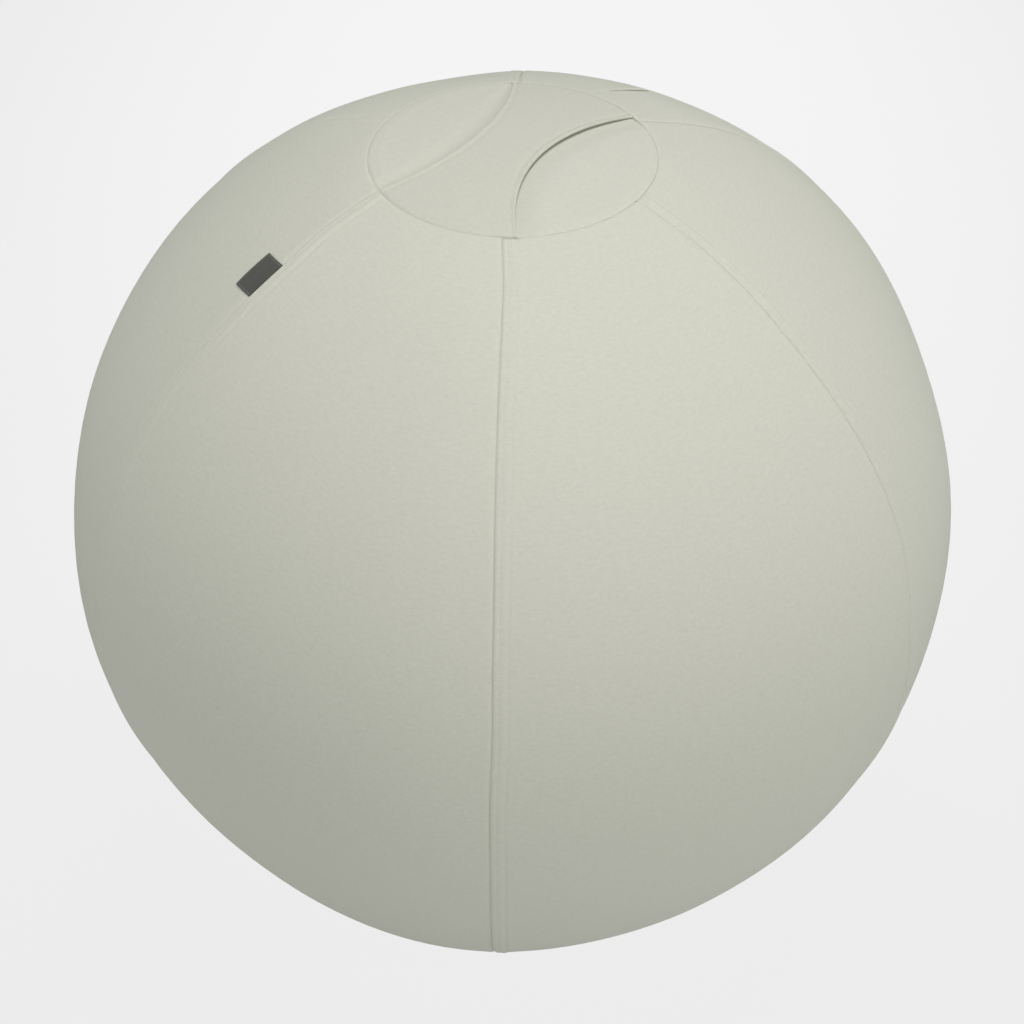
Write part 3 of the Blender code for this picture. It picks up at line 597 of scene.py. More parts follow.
# %% One stitch
thread, thread_tree, thread_shader = new_material(
    "corespun polyester thread", "#DADBCE", 0.62, Sheen_Weight=0.1, Specular_IOR_Level=0.3
)
thread_place = node(thread_tree, "ShaderNodeTexCoord").outputs["Object"]
thread_tone = noise(thread_tree, thread_place, 240.0)
paint(thread_tree, thread_shader, thread_tone, linear("#C4C5B6"), linear("#E4E5DA"))
STITCH_LENGTH = 3.0 * MM
STITCH_WIDTH = 0.62 * MM
STITCH_HEIGHT = 0.5 * MM
stitch = added(bpy.ops.mesh.primitive_uv_sphere_add, segments=6, ring_count=4, radius=0.5)
stitch.data.transform(Matrix.Diagonal((STITCH_WIDTH, STITCH_HEIGHT, STITCH_LENGTH, 1)))
print("one stitch:", len(stitch.data.polygons), "faces")


def sew(name, places, seed=stitch, material=thread, body="root"):
    """Copies a stitch to each place, and joins the copies. A place is a matrix whose Z axis is the
    thread's direction and whose Y axis points out of the cloth."""
    copies = []
    for place in places:
        copy = bpy.data.objects.new(name, seed.data.copy())
        copy.data.transform(place)
        bpy.context.scene.collection.objects.link(copy)
        copies.append(copy)
    row = joined(*copies)
    bpy.ops.object.shade_smooth()
    return finish(row, name, material, body)


def frames_along(points, outward):
    """A place halfway between each pair of neighbouring points."""
    places = []
    for here, there, out in zip(points, points[1:], outward):
        along = Vector(there - here).normalized()
        side = Vector(out).cross(along).normalized()
        up = along.cross(side)
        turn = Matrix((side, up, along)).transposed().to_4x4()
        places.append(Matrix.Translation(Vector((here + there) / 2)) @ turn)
    return places


# %% Sew the seam bands
SINK = 0.06 * MM  # how deep a stitch lies in a seam band
PROUD = 0.02 * MM  # how far it stands out of a plain hem
HEM_WIDTH = 6.5 * MM


def seam_places(number, offset, lift, latitude):
    """Places of a row of stitches beside the fold of this gore's first edge."""
    flat = BALL_RADIUS * np.cos(latitude)
    aside = wander(number - 1, latitude) + setback(number - 1, latitude) + offset * MM
    azimuth = number * GORE_ANGLE + aside / flat
    lift = lift * MM * seam_share(number - 1, latitude) - SINK
    points = on_ball(azimuth, latitude, cover_radius(azimuth, latitude) + lift)
    return frames_along(points, on_ball(azimuth, latitude, 1.0) - [0, 0, CENTRE_HEIGHT])


HOLES = ROWS[5:-5][::2]
print("stitches in a row:", len(HOLES) - 1)
for number, gore_name in enumerate(GORES):
    places = []
    for column in STITCH_COLUMNS:
        places += seam_places(number, *BAND_PROFILE[column], HOLES)
    sew(f"topstitch_{gore_name}", places)

# %% Sew the zip's plain hem and the bartacks at its ends
hem_latitude = HOLES[(HOLES > ZIP_BOTTOM_LATITUDE) & (HOLES < ZIP_TOP_LATITUDE)]
flat = BALL_RADIUS * np.cos(hem_latitude)
hem_azimuth = math.pi - (setback(ZIP_SEAM, hem_latitude) + HEM_WIDTH) / flat
hem_points = on_ball(hem_azimuth, hem_latitude, cover_radius(hem_azimuth, hem_latitude) + PROUD)
sew("topstitch_zip_hem", frames_along(hem_points, hem_points - [0, 0, CENTRE_HEIGHT]))

TACK_PITCH = 0.45 * MM
TACK_PROFILE = np.array([(-4.4, 0.15), (0.0, 0.55), (4.4, 1.05)]).T * MM  # across, and height
tack_places = []
for tack_latitude in (ZIP_TOP_LATITUDE + ZIP_END_TAPER, ZIP_BOTTOM_LATITUDE - ZIP_END_TAPER):
    for step in np.arange(-4, 5):
        latitude = np.full(3, tack_latitude) + step * TACK_PITCH / BALL_RADIUS
        azimuth = math.pi + TACK_PROFILE[0] / (BALL_RADIUS * np.cos(latitude))
        points = on_ball(azimuth, latitude, cover_radius(azimuth, latitude) + TACK_PROFILE[1])
        tack_places += frames_along(points, points - [0, 0, CENTRE_HEIGHT])
sew("zip_bartacks", [place @ Matrix.Diagonal((1, 1, 1.5, 1)) for place in tack_places])

# %% [markdown]
# ## Carry strap
# The strap is two layers of the cover's knit, sewn right sides together, turned, and topstitched 4
# mm from its edges. It is as wide as the gap between two seams at its ends and a hand's grip at
# the waist. Its long edges are arcs of one circle, bent a little towards their own corners,
# because the four corners weren't sewn in at quite the same place, and its waist lies 2 mm to the
# left. Its ends are caught in the seam round the top disc, so a hand can lift its middle by some
# 28 mm. Here the strap is made in two halves that meet at the waist, and both stay where they lie.

# %% Strap outline
STRAP_WAIST = 49.3 * MM
STRAP_SHIFT = 2 * MM  # how far the waist lies to the left
STRAP_CORNERS = {"front": (32.4, 33.5), "back": (27.8, 31.0)}  # right and left, from its axis
STRAP_SPAN = math.radians(63)
STRAP_TURN = math.radians(-28)
STRAP_REACH = 96.1 * MM
STRAP_POLE_HEIGHT = CENTRE_HEIGHT + BALL_RADIUS - 4.5 * MM
STRAP_WALL = 1.7 * MM
END_HALF_WIDTH = STRAP_REACH * math.sin(STRAP_SPAN / 2)
END_DISTANCE = STRAP_REACH * math.cos(STRAP_SPAN / 2)
SWEEP = END_HALF_WIDTH - STRAP_WAIST / 2
EDGE_ARC = (END_DISTANCE**2 + SWEEP**2) / (2 * SWEEP)
STRAP_EDGE = [  # millimetres in from the edge, and height above the strap's plain surface
    (0.45, -1.55), (0.12, -1.25), (0.0, -0.8), (0.1, -0.35), (0.35, 0.05), (0.75, 0.32),
    (1.3, 0.42), (2.0, 0.30), (2.8, 0.12), (3.6, -0.10), (4.4, -0.32), (5.2, -0.12), (6.3, 0.06),
    (8.4, 0.08), (11.0, 0.03),
]  # fmt: skip
STRAP_STITCH_COLUMN = 10
STRAP_MIDDLE_CELLS = 8
STRAP_ROWS = 56
STRAP_LAST_ROWS = [0.986, 0.991, 0.995, 1.0, 1.006, 1.014]  # shares of its reach, at the rim
END_SLOPE = 1.1
STEEP_CORNER, STEEP_EASE = 13.5 * MM, 1.2 * MM  # how far in from the right edge the end is steeper


def corner_angle(along, across):
    """How far the strap's corner on this side is from its long axis."""
    front, back = (np.where(across > 0, *STRAP_CORNERS[end]) for end in ("front", "back"))
    return np.radians(np.where(along > 0, front, back))


def strap_half_width(distance, across):
    """How far an edge is from the middle line, on the right side if across is above 0."""
    corner = corner_angle(distance, across)
    end = STRAP_REACH * np.cos(corner)
    share = np.minimum(np.abs(distance) / end, 1)
    arc, end_arc = (
        STRAP_WAIST / 2 + EDGE_ARC - np.sqrt(EDGE_ARC**2 - (part * end) ** 2) for part in (share, 1)
    )
    shift = np.where(across > 0, -STRAP_SHIFT, STRAP_SHIFT) * (1 - share**2)
    return arc + shift + (STRAP_REACH * np.sin(corner) - end_arc) * share**3


def strap_height(radius):
    rise = STRAP_POLE_HEIGHT - DISC_HEIGHT
    arc = (DISC_RADIUS**2 + rise**2) / (2 * rise)
    return STRAP_POLE_HEIGHT - arc + np.sqrt(np.maximum(arc**2 - radius**2, 0))


def strap_plan(along, across):
    """The strap's plan, from end to end and from edge to edge, both from -1 to 1."""
    lean = across * corner_angle(along, across)
    end = STRAP_REACH * np.cos(lean) * np.sign(along)
    distance = np.abs(along) * end
    at_end = STRAP_REACH * np.sin(lean) - across * strap_half_width(end, across)
    side = across * strap_half_width(distance, across) + at_end * np.abs(along) ** 3
    return (
        distance * math.sin(STRAP_TURN) + side * math.cos(STRAP_TURN),
        -distance * math.cos(STRAP_TURN) + side * math.sin(STRAP_TURN),
    )


print("strap's edges are arcs of", round(EDGE_ARC / MM), "mm")

# %% Make the two halves


def strap_surface(along, side, lift):
    """A point of the strap, at this distance from its middle line. Beyond its ends it turns down,
    most steeply at its front corner."""
    width = strap_half_width(along * STRAP_REACH, side)
    beyond = np.maximum(np.abs(along) - 1, 0)
    corner = smooth((side - width + STEEP_CORNER) / STEEP_EASE) * (along > 0)
    plan_along = np.sign(along) * (np.minimum(np.abs(along), 1) + beyond * (1 - corner))
    x, y = strap_plan(plan_along, side / width)
    radius = np.hypot(x, y)
    rim = np.maximum(STRAP_REACH - radius, 0) + GAP / 2
    dip = edge_dip(rim) * rim_share(np.arctan2(x, -y)) + beyond * STRAP_REACH * (END_SLOPE + corner)
    return np.stack([x, y, strap_height(radius) + lift - dip], -1)


def strap_half(end):
    """End is 1 for the front half and -1 for the back half."""
    edge = np.array(STRAP_EDGE).T * MM
    along = np.concatenate([np.linspace(0, 0.98, STRAP_ROWS), STRAP_LAST_ROWS])[:, None] * end
    right, left = (strap_half_width(along * STRAP_REACH, hand) - edge[0] for hand in (1, -1))
    share = np.arange(1, STRAP_MIDDLE_CELLS) / STRAP_MIDDLE_CELLS
    middle = right[:, -1:] * (1 - share) - left[:, -1:] * share
    side = np.concatenate([right, middle, -left[:, ::-1]], 1)
    flat_lift = np.concatenate([edge[1], np.full(middle.shape[1], 0.02 * MM), edge[1][::-1]])
    points = strap_surface(np.broadcast_to(along, side.shape), side, flat_lift)
    uv = np.stack([side, np.broadcast_to(along * STRAP_REACH, side.shape)], -1)
    made = facing(cloth_grid(points, uv))
    return smooth_shade(walled(made, STRAP_WALL), 60)


STRAP_SIDES = (("front", 1), ("back", -1))
for side_name, end in STRAP_SIDES:
    made = strap_half(end)
    finish(made, f"carry_strap_{side_name}", strap_knit, None, ["carry_strap"])
    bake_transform(made)

# %% Topstitch the strap
strap_step = STITCH_PITCH / STRAP_REACH
for side_name, end in STRAP_SIDES:
    places = []
    offset, lift = STRAP_EDGE[STRAP_STITCH_COLUMN]
    for edge_side in (1, -1):
        along = np.arange(0.5 * strap_step, 0.985, strap_step) * end
        width = strap_half_width(along * STRAP_REACH, edge_side)
        row = strap_surface(along, edge_side * (width - offset * MM), lift * MM)
        row[:, 2] += PROUD
        places += frames_along(row, np.tile([0.0, 0.0, 1.0], (len(row), 1)))
    made = sew(f"strap_topstitch_{side_name}", places, body=None)
    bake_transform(made)

# %% [markdown]
# ## Top disc
# Under the strap a round disc closes the cover. It is flush with the gores where it can be seen,
# in the two lenses beside the strap, and is pressed down where the strap lies on it. Its profile
# is drawn with one extruded point after the other, spun round the ball's axis, and then pressed in
# under the strap by the same outline that shaped the strap.

# %% Disc


def spun(profile, steps):
    """Extrudes a point along a profile of (radius, height), and spins it round the Z axis."""
    obj = added(bpy.ops.mesh.primitive_plane_add, size=1)
    bpy.ops.object.mode_set(mode="EDIT")
    bpy.ops.mesh.select_all(action="SELECT")
    bpy.ops.mesh.merge(type="CENTER")
    bpy.ops.transform.translate(value=(profile[0][0], 0, profile[0][1]))
    for (r0, z0), (r1, z1) in zip(profile, profile[1:]):
        step = {"value": (r1 - r0, 0, z1 - z0)}
        bpy.ops.mesh.extrude_region_move(TRANSFORM_OT_translate=step)
    bpy.ops.mesh.select_all(action="SELECT")
    bpy.ops.mesh.spin(steps=steps, angle=2 * math.pi, center=(0, 0, 0), axis=(0, 0, 1))
    bpy.ops.object.mode_set(mode="OBJECT")
    return obj


DISC_EDGE_RADIUS = DISC_RADIUS - GAP / 2
RIM_STEPS = (9.4, 8.4, 7.6, 7, 6.4, 5.6, 4, 2.8, 2, 1.4, 0.9, 0.5, 0.25, 0)
LOOSE_PRESS = (1.9, 1.6)  # millimetres under the strap's right edge, and how much more inside
CLOSE_PRESS = (1.8, 1.1)
PRESS_REACH, CORNER_REACH = 20, 4  # millimetres over which it ends, and at the back left corner
DISC_CROWN = 1.4 * MM
ALLOWANCE, ALLOWANCE_DENT = 7 * MM, 0.16 * MM  # the seam allowance shows through as a faint step
disc_radii = [0] + [r * MM for r in range(2, 86, 2)]
disc_radii += [DISC_EDGE_RADIUS - d * MM for d in RIM_STEPS]
disc = outwards(spun([(r, 0) for r in disc_radii], 180))
print("disc:", len(disc.data.vertices), "points")

# %% Press it in under the strap
place = points_of(disc.data)
radius = np.hypot(place[:, 0], place[:, 1])
distance = place[:, 0] * math.sin(STRAP_TURN) - place[:, 1] * math.cos(STRAP_TURN)
aside = place[:, 0] * math.cos(STRAP_TURN) + place[:, 1] * math.sin(STRAP_TURN)
outside = np.abs(aside) - strap_half_width(distance, aside)
loose = aside > 0  # the strap's right edge stands off the disc, and its left edge lies close to it
crown = 1 - (radius / DISC_RADIUS) ** 2
inner = 1 - (radius / DISC_RADIUS) ** 4
pressed = np.where(loose, *(edge + more * inner for edge, more in (LOOSE_PRESS, CLOSE_PRESS))) * MM
corner = smooth((radius - 60 * MM) / (35 * MM)) * ~(loose | (distance > 0))
reach = (PRESS_REACH + (CORNER_REACH - PRESS_REACH) * corner) * MM
beside = smooth(np.where(loose, outside - 1 * MM, outside + 1.5 * MM) / reach)
from_edge = DISC_EDGE_RADIUS - radius
dent = ALLOWANCE_DENT * np.exp(-(((from_edge - ALLOWANCE) / (1.6 * MM)) ** 2))
below = pressed * (1 - beside) + (DISC_CROWN * crown - dent) * beside
dip = edge_dip(from_edge + GAP / 2) * rim_share(np.arctan2(place[:, 0], -place[:, 1]))
place[:, 2] = strap_height(radius) - below - dip
set_points(disc.data, place)
smooth_shade(walled(plan_uv(facing(disc)), COVER_THICKNESS), 60)
finish(disc, "top_disc_knit", cover_knit, nodes=["top_disc"])
print("disc top at", round(float(place[:, 2].max()), 4), "m")

# %% [markdown]
# ## Materials for the small parts
# Two kinds of surface return in the small parts. Woven cloth, such as the zip's tape, the label
# and the sand pouch, has threads that pass over and under each other, so its pattern follows its
# own UV map. Moulded and cast parts, such as vinyl, nylon and zinc, have no direction, so their
# pattern is a noise in the object's own coordinates. Each is given its real thread or grain size
# in millimetres.

# %% Woven and moulded


def woven(name, light, dark, roughness, thread_pitch, bump=0.4, **shader_values):
    """Plain weave. Threads under 0.5 mm are drawn at 0.5 mm, or they wouldn't show."""
    made, tree, shader = new_material(name, light, roughness, **shader_values)
    cloth = node(tree, "ShaderNodeTexCoord").outputs["UV"]
    turns = math.pi / max(thread_pitch, 0.5 * MM)
    threads = stretched(tree, cloth, (turns,) * 3)
    place = node(tree, "ShaderNodeSeparateXYZ", {0: threads})
    warp = maths(tree, "SINE", place.outputs[0])
    weft = maths(tree, "SINE", place.outputs[1])
    over = maths(tree, "MULTIPLY", warp, weft)
    spots = noise(tree, threads, 0.8, 2.0)
    share = maths(tree, "MULTIPLY_ADD", over, 0.3, spots)
    paint(tree, shader, share, linear(dark), linear(light))
    emboss(tree, shader, over, bump, 0.1 * MM)
    return made


def moulded(name, light, dark, roughness, grain, bump=0.15, **shader_values):
    """A cast or moulded surface, with a fine grain and a slow change of tone."""
    made, tree, shader = new_material(name, light, roughness, **shader_values)
    spot = node(tree, "ShaderNodeTexCoord").outputs["Object"]
    fine = noise(tree, spot, 1 / grain, 3.0)
    slow = noise(tree, spot, 0.04 / grain, 2.0)
    both = maths(tree, "MULTIPLY", fine, slow)
    share = node(tree, "ShaderNodeMapRange", {"Value": both, "From Min": 0.1, "From Max": 0.4})
    paint(tree, shader, share, linear(dark), linear(light))
    emboss(tree, shader, fine, bump, 0.1 * MM)
    wear = {"Value": slow, "From Min": 0.3, "To Min": roughness * 0.85, "To Max": roughness * 1.15}
    worn = node(tree, "ShaderNodeMapRange", wear)
    tree.links.new(worn.outputs[0], shader.inputs["Roughness"])
    return made


# %% [markdown]
# ## Side label
# A plain dark ribbon, 29 mm long, is folded in half and caught in the left seam, so that it lies
# over the cloth like a small flag. It could be a thin box, but a real label shows its fold, its
# two layers and its curve along the ball. So one grid is carried along the folded ribbon's
# profile: out of the seam, round the fold and back under itself. A finger can lift the real
# label, but here it stays where it lies.

# %% Label
LABEL_LENGTH = 29.3 * MM
LABEL_LEAN = 0.12
RIBBON = 0.26 * MM
ribbon_out = [(-0.10, -0.70), (-0.04, -0.35), (0.12, 0.05), (0.5, 0.42), (1.1, 0.62)]
ribbon_out += [(x, 0.70 + 0.25 * (x / 19) ** 3) for x in range(2, 19)]
ribbon_fold = [(18.9, 0.95), (19.2, 0.93), (19.4, 0.84), (19.45, 0.72), (19.4, 0.6), (19.2, 0.51)]
ribbon_back = [(x, 0.36 + 0.14 * (x / 19) ** 3) for x in range(18, 1, -1)]
ribbon_back += [(1.2, 0.3), (0.7, 0.16), (0.3, -0.10), (0.08, -0.40), (0.0, -0.72)]
ribbon = np.array(ribbon_out + ribbon_fold + ribbon_back).T * MM
along = np.linspace(-0.5, 0.5, 33)[:, None] * LABEL_LENGTH
bow = 1 + 0.03 * (1 - (2 * along / LABEL_LENGTH) ** 2)
latitude = LABEL_LATITUDE - (along + LABEL_LEAN * ribbon[0]) / BALL_RADIUS
label_seam = (LABEL_SEAM + 1) * GORE_ANGLE
aside = wander(LABEL_SEAM, latitude) - ribbon[0] * bow
azimuth = label_seam + aside / (BALL_RADIUS * np.cos(latitude))
points = on_ball(azimuth, latitude, cover_radius(azimuth, latitude) + ribbon[1])
run = np.concatenate([[0], np.cumsum(np.hypot(*np.diff(ribbon)))])
uv = np.stack([run + 0 * along, along + 0 * run], -1)
label = smooth_shade(walled(cloth_grid(points, uv), RIBBON, 0), 50)

# %% Label's damask
# Damask is a satin weave: its long floating threads give it a soft shine along the ribbon. A
# lighter thread runs just inside its edges.
label_cloth = woven(
    "dark polyester damask", "#53544D", "#41423C", 0.6, 0.35 * MM, 0.5, Sheen_Weight=0.15
)
LINE_FROM_MIDDLE, LINE_ALONG_FOLD, LINE_HALF_WIDTH = 13.4 * MM, 19.0 * MM, 0.2 * MM
tree = label_cloth.node_tree
shader = tree.nodes["Principled BSDF"]
ribbon_uv = node(tree, "ShaderNodeTexCoord").outputs["UV"]
place = node(tree, "ShaderNodeSeparateXYZ", {0: ribbon_uv})
aside = maths(tree, "ABSOLUTE", place.outputs[1])
ends = maths(tree, "COMPARE", aside, LINE_FROM_MIDDLE, LINE_HALF_WIDTH)
edge = maths(tree, "COMPARE", place.outputs[0], LINE_ALONG_FOLD, LINE_HALF_WIDTH)
inside = maths(tree, "LESS_THAN", aside, LINE_FROM_MIDDLE + LINE_HALF_WIDTH)
edge_part = maths(tree, "MULTIPLY", edge, inside)
line = maths(tree, "MAXIMUM", ends, edge_part)
line_share = maths(tree, "MULTIPLY", line, 0.45)
ground = shader.inputs["Base Color"].links[0].from_socket
paint(tree, shader, line_share, ground, linear("#8C8D83"))
finish(label, "ribbon_label", label_cloth, None, ["side_label"])
near, far = (on_ball(label_seam - turn, LABEL_LATITUDE, BALL_RADIUS) for turn in (0, 0.05))
away = Vector(far - near).normalized()
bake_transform(label)

# %% [markdown]
# ## Zip
# The zip at the back is 32 cm long, and the ball goes in through it. Each side is a woven tape
# with a cord along its edge, and a nylon coil sewn over that cord. The coils could be drawn as two
# smooth rods, but their turns are what the eye knows as a zip. So each coil is one curve that
# winds round and round, 1.4 mm a turn, and the right one is half a turn ahead of the left one.
# Everything keeps its distance from the ball's middle, because the slider turns about it as it
# runs.

# %% Tapes
TAPE_RADIUS = 325.694 * MM
COIL_RADIUS = TAPE_RADIUS + 0.95 * MM
STOP_LENGTH = 2.2 * MM
TAPE_TAIL = 7.5 * MM
TAPE_WALL = 0.6 * MM
TAPE_ROWS = 190
stop_angle = STOP_LENGTH / (BALL_RADIUS + SEAM_RIDGE)
coil_top = ZIP_TOP_LATITUDE - stop_angle
coil_bottom = ZIP_BOTTOM_LATITUDE + stop_angle
tape_profile = [(0.65, -0.12), (0.7, 0.02), (0.85, 0.12), (1.1, 0.16), (1.4, 0.12), (1.8, 0.02)]
tape_profile += [(2.4, 0), (3.2, 0), (4.2, 0), (5.4, 0), (6.4, 0), (7.6, 0), (9, 0), (10.5, 0)]
tape_profile += [(12.0, 0), (12.6, 0.04), (13.1, 0.06), (13.5, 0), (13.65, -0.12)]
tape_cloth = woven("sage polyester zip tape", "#C3C5B5", "#B2B4A3", 0.85, 0.6 * MM, 0.5)


def on_zip(offset, latitude, radius):
    """A point beside the zip's middle plane. It keeps its distance from the ball's middle."""
    level = np.sqrt(radius**2 - offset**2)
    height = CENTRE_HEIGHT + level * np.sin(latitude)
    return np.stack([offset, level * np.cos(latitude), height], -1)


def tape(side, name):
    offset, lift = np.array(tape_profile if side > 0 else tape_profile[::-1]).T * MM
    tail = TAPE_TAIL / TAPE_RADIUS
    latitude = np.linspace(ZIP_BOTTOM_LATITUDE - tail, ZIP_TOP_LATITUDE + tail, TAPE_ROWS)[:, None]
    points = on_zip(side * offset + 0 * latitude, latitude, TAPE_RADIUS + lift)
    uv = np.stack([side * offset + 0 * latitude, latitude * TAPE_RADIUS + 0 * offset], -1)
    made = smooth_shade(walled(cloth_grid(points[:, ::-1], uv[:, ::-1]), TAPE_WALL), 60)
    finish(made, f"woven_{name}", tape_cloth, nodes=[name])


tape(-1, "zip_tape_left")
tape(1, "zip_tape_right")

# %% Coils
COIL_PITCH = 1.4 * MM
COIL_WIRE = 0.2 * MM
COIL_MIDDLE, COIL_REACH, COIL_RISE = 1.05 * MM, 0.70 * MM, 0.43 * MM
TURN_POINTS = 8
coil_nylon = moulded(
    "sage nylon monofilament", "#BFC1B1", "#ADAF9E", 0.38, 0.6 * MM, 0.05, Specular_IOR_Level=0.5
)


def drawn(lines, closed=False, **settings):
    """A curve of straight strokes through the points of each line, made into a closed mesh."""
    curve = added(bpy.ops.curve.primitive_nurbs_path_add).data
    curve.splines.clear()
    for name, value in settings.items():
        setattr(curve, name, value)
    for line in lines:
        spline = curve.splines.new("POLY")
        spline.points.add(len(line) - 1)
        spline.use_cyclic_u = closed
        for knot, point in zip(spline.points, line):
            knot.co = (*point, 1)
    bpy.ops.object.convert(target="MESH")
    return outwards(bpy.context.object)


for side, name in ((-1, "zip_coil_left"), (1, "zip_coil_right")):
    turns = int((coil_top - coil_bottom - 2 * GAP / COIL_RADIUS) * COIL_RADIUS / COIL_PITCH)
    turn = np.linspace(0, 2 * math.pi * turns, turns * TURN_POINTS + 1)
    latitude = np.linspace(coil_bottom, coil_top, len(turn) + 2)[1:-1]
    phase = turn + (math.pi if side > 0 else 0)
    offset = side * (COIL_MIDDLE + COIL_REACH * np.cos(phase) + 0.02 * MM * np.cos(3 * phase))
    line = on_zip(offset, latitude, COIL_RADIUS + COIL_RISE * np.sin(phase))
    wire = drawn([line], bevel_depth=COIL_WIRE, bevel_resolution=1, use_fill_caps=True)
    smooth_shade(wire, 80)
    finish(wire, f"nylon_{name}", coil_nylon, nodes=[name])
    print(name, turns, "turns")

# %% Stops
paint_over_zinc = {"Metallic": 0.35, "Coat_Weight": 0.25}
zinc = moulded("painted zinc alloy", "#7C7D74", "#62635B", 0.36, 0.8 * MM, 0.12, **paint_over_zinc)


def on_slider(latitude):
    """Carries a part that is drawn at the equator round the ball's middle to this latitude."""
    return Matrix.Translation((0, 0, CENTRE_HEIGHT)) @ Matrix.Rotation(latitude, 4, "X")


def clip(name, low, high, latitude):
    """A crimped metal clip: a bevelled block, pinched across its middle."""
    middle = [(a + b) / 2 for a, b in zip(low, high)]
    size = [b - a for a, b in zip(low, high)]
    made = added(bpy.ops.mesh.primitive_cube_add, size=1, location=middle, scale=size)
    bpy.ops.object.transform_apply(location=False, rotation=False, scale=True)
    bpy.ops.object.mode_set(mode="EDIT")
    bpy.ops.mesh.select_all(action="SELECT")
    bpy.ops.mesh.bevel(offset=0.28 * MM, segments=3)
    bpy.ops.mesh.bisect(plane_co=middle, plane_no=(0, 0, 1))
    bpy.ops.transform.resize(value=(0.86, 0.9, 1))
    bpy.ops.object.mode_set(mode="OBJECT")
    into_mesh(smooth_shade(outwards(made), 35), on_slider(latitude))
    return finish(made, f"crimped_{name}", zinc, nodes=[name])


low, high, half = TAPE_RADIUS + GAP, COIL_RADIUS + 0.65 * MM, STOP_LENGTH / 2
top_latitude, bottom_latitude = coil_top + stop_angle / 2, coil_bottom - stop_angle / 2
for name, left, right, latitude in (
    ("zip_top_stop_left", -1.95, -0.65, top_latitude),
    ("zip_top_stop_right", 0.65, 1.95, top_latitude),
    ("zip_bottom_stop", -1.95, 1.95, bottom_latitude),
):
    clip(name, (left * MM, low, -half), (right * MM, high, half), latitude)

# %% [markdown]
# ## Slider and pull
# The slider is die cast in zinc and painted: two waisted plates, a narrow bridge between them,
# side flanges that hold the coils, and an arched bail on top. The pull hangs from the bail by its
# pin. All these are flat shapes with rounded edges, so each is an outline filled as a flat curve,
# given its depth and its round edge, and turned into a mesh. The outlines are drawn upright, and
# one place matrix carries them to the slider's latitude on the ball.

# %% Cut out flat parts
pull_axis = Vector(joints["pull_swing"]["pos_m"])
SLIDER_LATITUDE = math.atan2(pull_axis.z - CENTRE_HEIGHT, pull_axis.y)
PIN_RADIUS = math.hypot(pull_axis.z - CENTRE_HEIGHT, pull_axis.y)
print("slider at latitude", round(math.degrees(SLIDER_LATITUDE), 3), "pin at", round(PIN_RADIUS, 5))


def cut_out(outlines, depth, round_edge, closed=True):
    """A flat part with rounded edges. Outlines are in millimetres, across and up. A second one is a
    hole. An open one becomes a bent strip."""
    made = drawn(
        [[(x * MM, y * MM, 0) for x, y in outline] for outline in outlines],
        closed,
        dimensions="2D",
        fill_mode="BOTH" if closed else "NONE",
        extrude=(depth / 2 - round_edge) * MM,
        bevel_depth=round_edge * MM,
        bevel_resolution=2,
        offset=-round_edge * MM if closed else 0,
    )
    made.data.transform(Matrix.Rotation(math.pi / 2, 4, "X"))
    return made


def mirrored(half_outline):
    """A closed outline from its right half."""
    return half_outline + [(-x, y) for x, y in reversed(half_outline)]


# %% Slider
PLATE_RADIUS = COIL_RADIUS + 0.65 * MM + GAP
LOW_PLATE_RADIUS = TAPE_RADIUS - 0.7 * MM - GAP - 1.0 * MM
plate_half = [(1.5, 5.5), (2.5, 5.35), (3.2, 4.9), (3.55, 4.2), (3.65, 3.2), (3.6, 1.8), (3.4, 0.3)]
plate_half += [(3.2, -1.5), (3.12, -3.4), (3.05, -4.4), (2.8, -5.05), (2.2, -5.42), (1.4, -5.5)]


def lifted(obj, radius):
    obj.data.transform(Matrix.Translation((0, radius, 0)))
    return obj


slider_parts = [
    lifted(cut_out([mirrored(plate_half)], 1.0, 0.3), radius + 0.5 * MM)
    for radius in (PLATE_RADIUS, LOW_PLATE_RADIUS)
]
flange_depth = (PLATE_RADIUS - TAPE_RADIUS) / MM - 0.1
flange_radius = TAPE_RADIUS + 0.25 * MM + flange_depth / 2 * MM
for side in (-1, 1):
    flange = [(side * (x + 2.25), y) for x, y in ((0, -5.2), (0.8, -5.2), (0.8, 5.2), (0, 5.2))]
    slider_parts.append(lifted(cut_out([flange], flange_depth, 0.12), flange_radius))
bridge = [(0.1, 2.9), (0.1, 5.3), (-0.1, 5.3), (-0.1, 2.9)]
slider_parts.append(lifted(cut_out([bridge], 4.0, 0.04), PLATE_RADIUS - 1.9 * MM))

plate_top = (PLATE_RADIUS + 1.0 * MM - PIN_RADIUS) / MM
arch = [(-2.05, plate_top - 0.1), (-2.05, 0.5), (-1.85, 0.95), (-1.4, 1.25), (-0.7, 1.35)]
arch += [(-x, y) for x, y in reversed(arch)]
bail = cut_out([arch], 2.0, 0.42, closed=False)
bail.data.transform(Matrix(((0, 1, 0, 0), (0, 0, 1, PIN_RADIUS), (1, 0, 0, 0), (0, 0, 0, 1))))
slider_parts.append(outwards(bail))
for part in slider_parts:
    into_mesh(part, on_slider(SLIDER_LATITUDE))
slider = smooth_shade(joined(*slider_parts), 35)
finish(slider, "cast_zip_slider", zinc, "slider", ["zip_slider"])

# %% Pull
PULL_HALF = 3.2


def round_end(radius, height, start, stop, steps):
    """An arc of the pull's outline or of its slot, in millimetres."""
    angles = np.linspace(start, stop, steps)
    return [(radius * math.cos(a), height + radius * math.sin(a)) for a in angles]


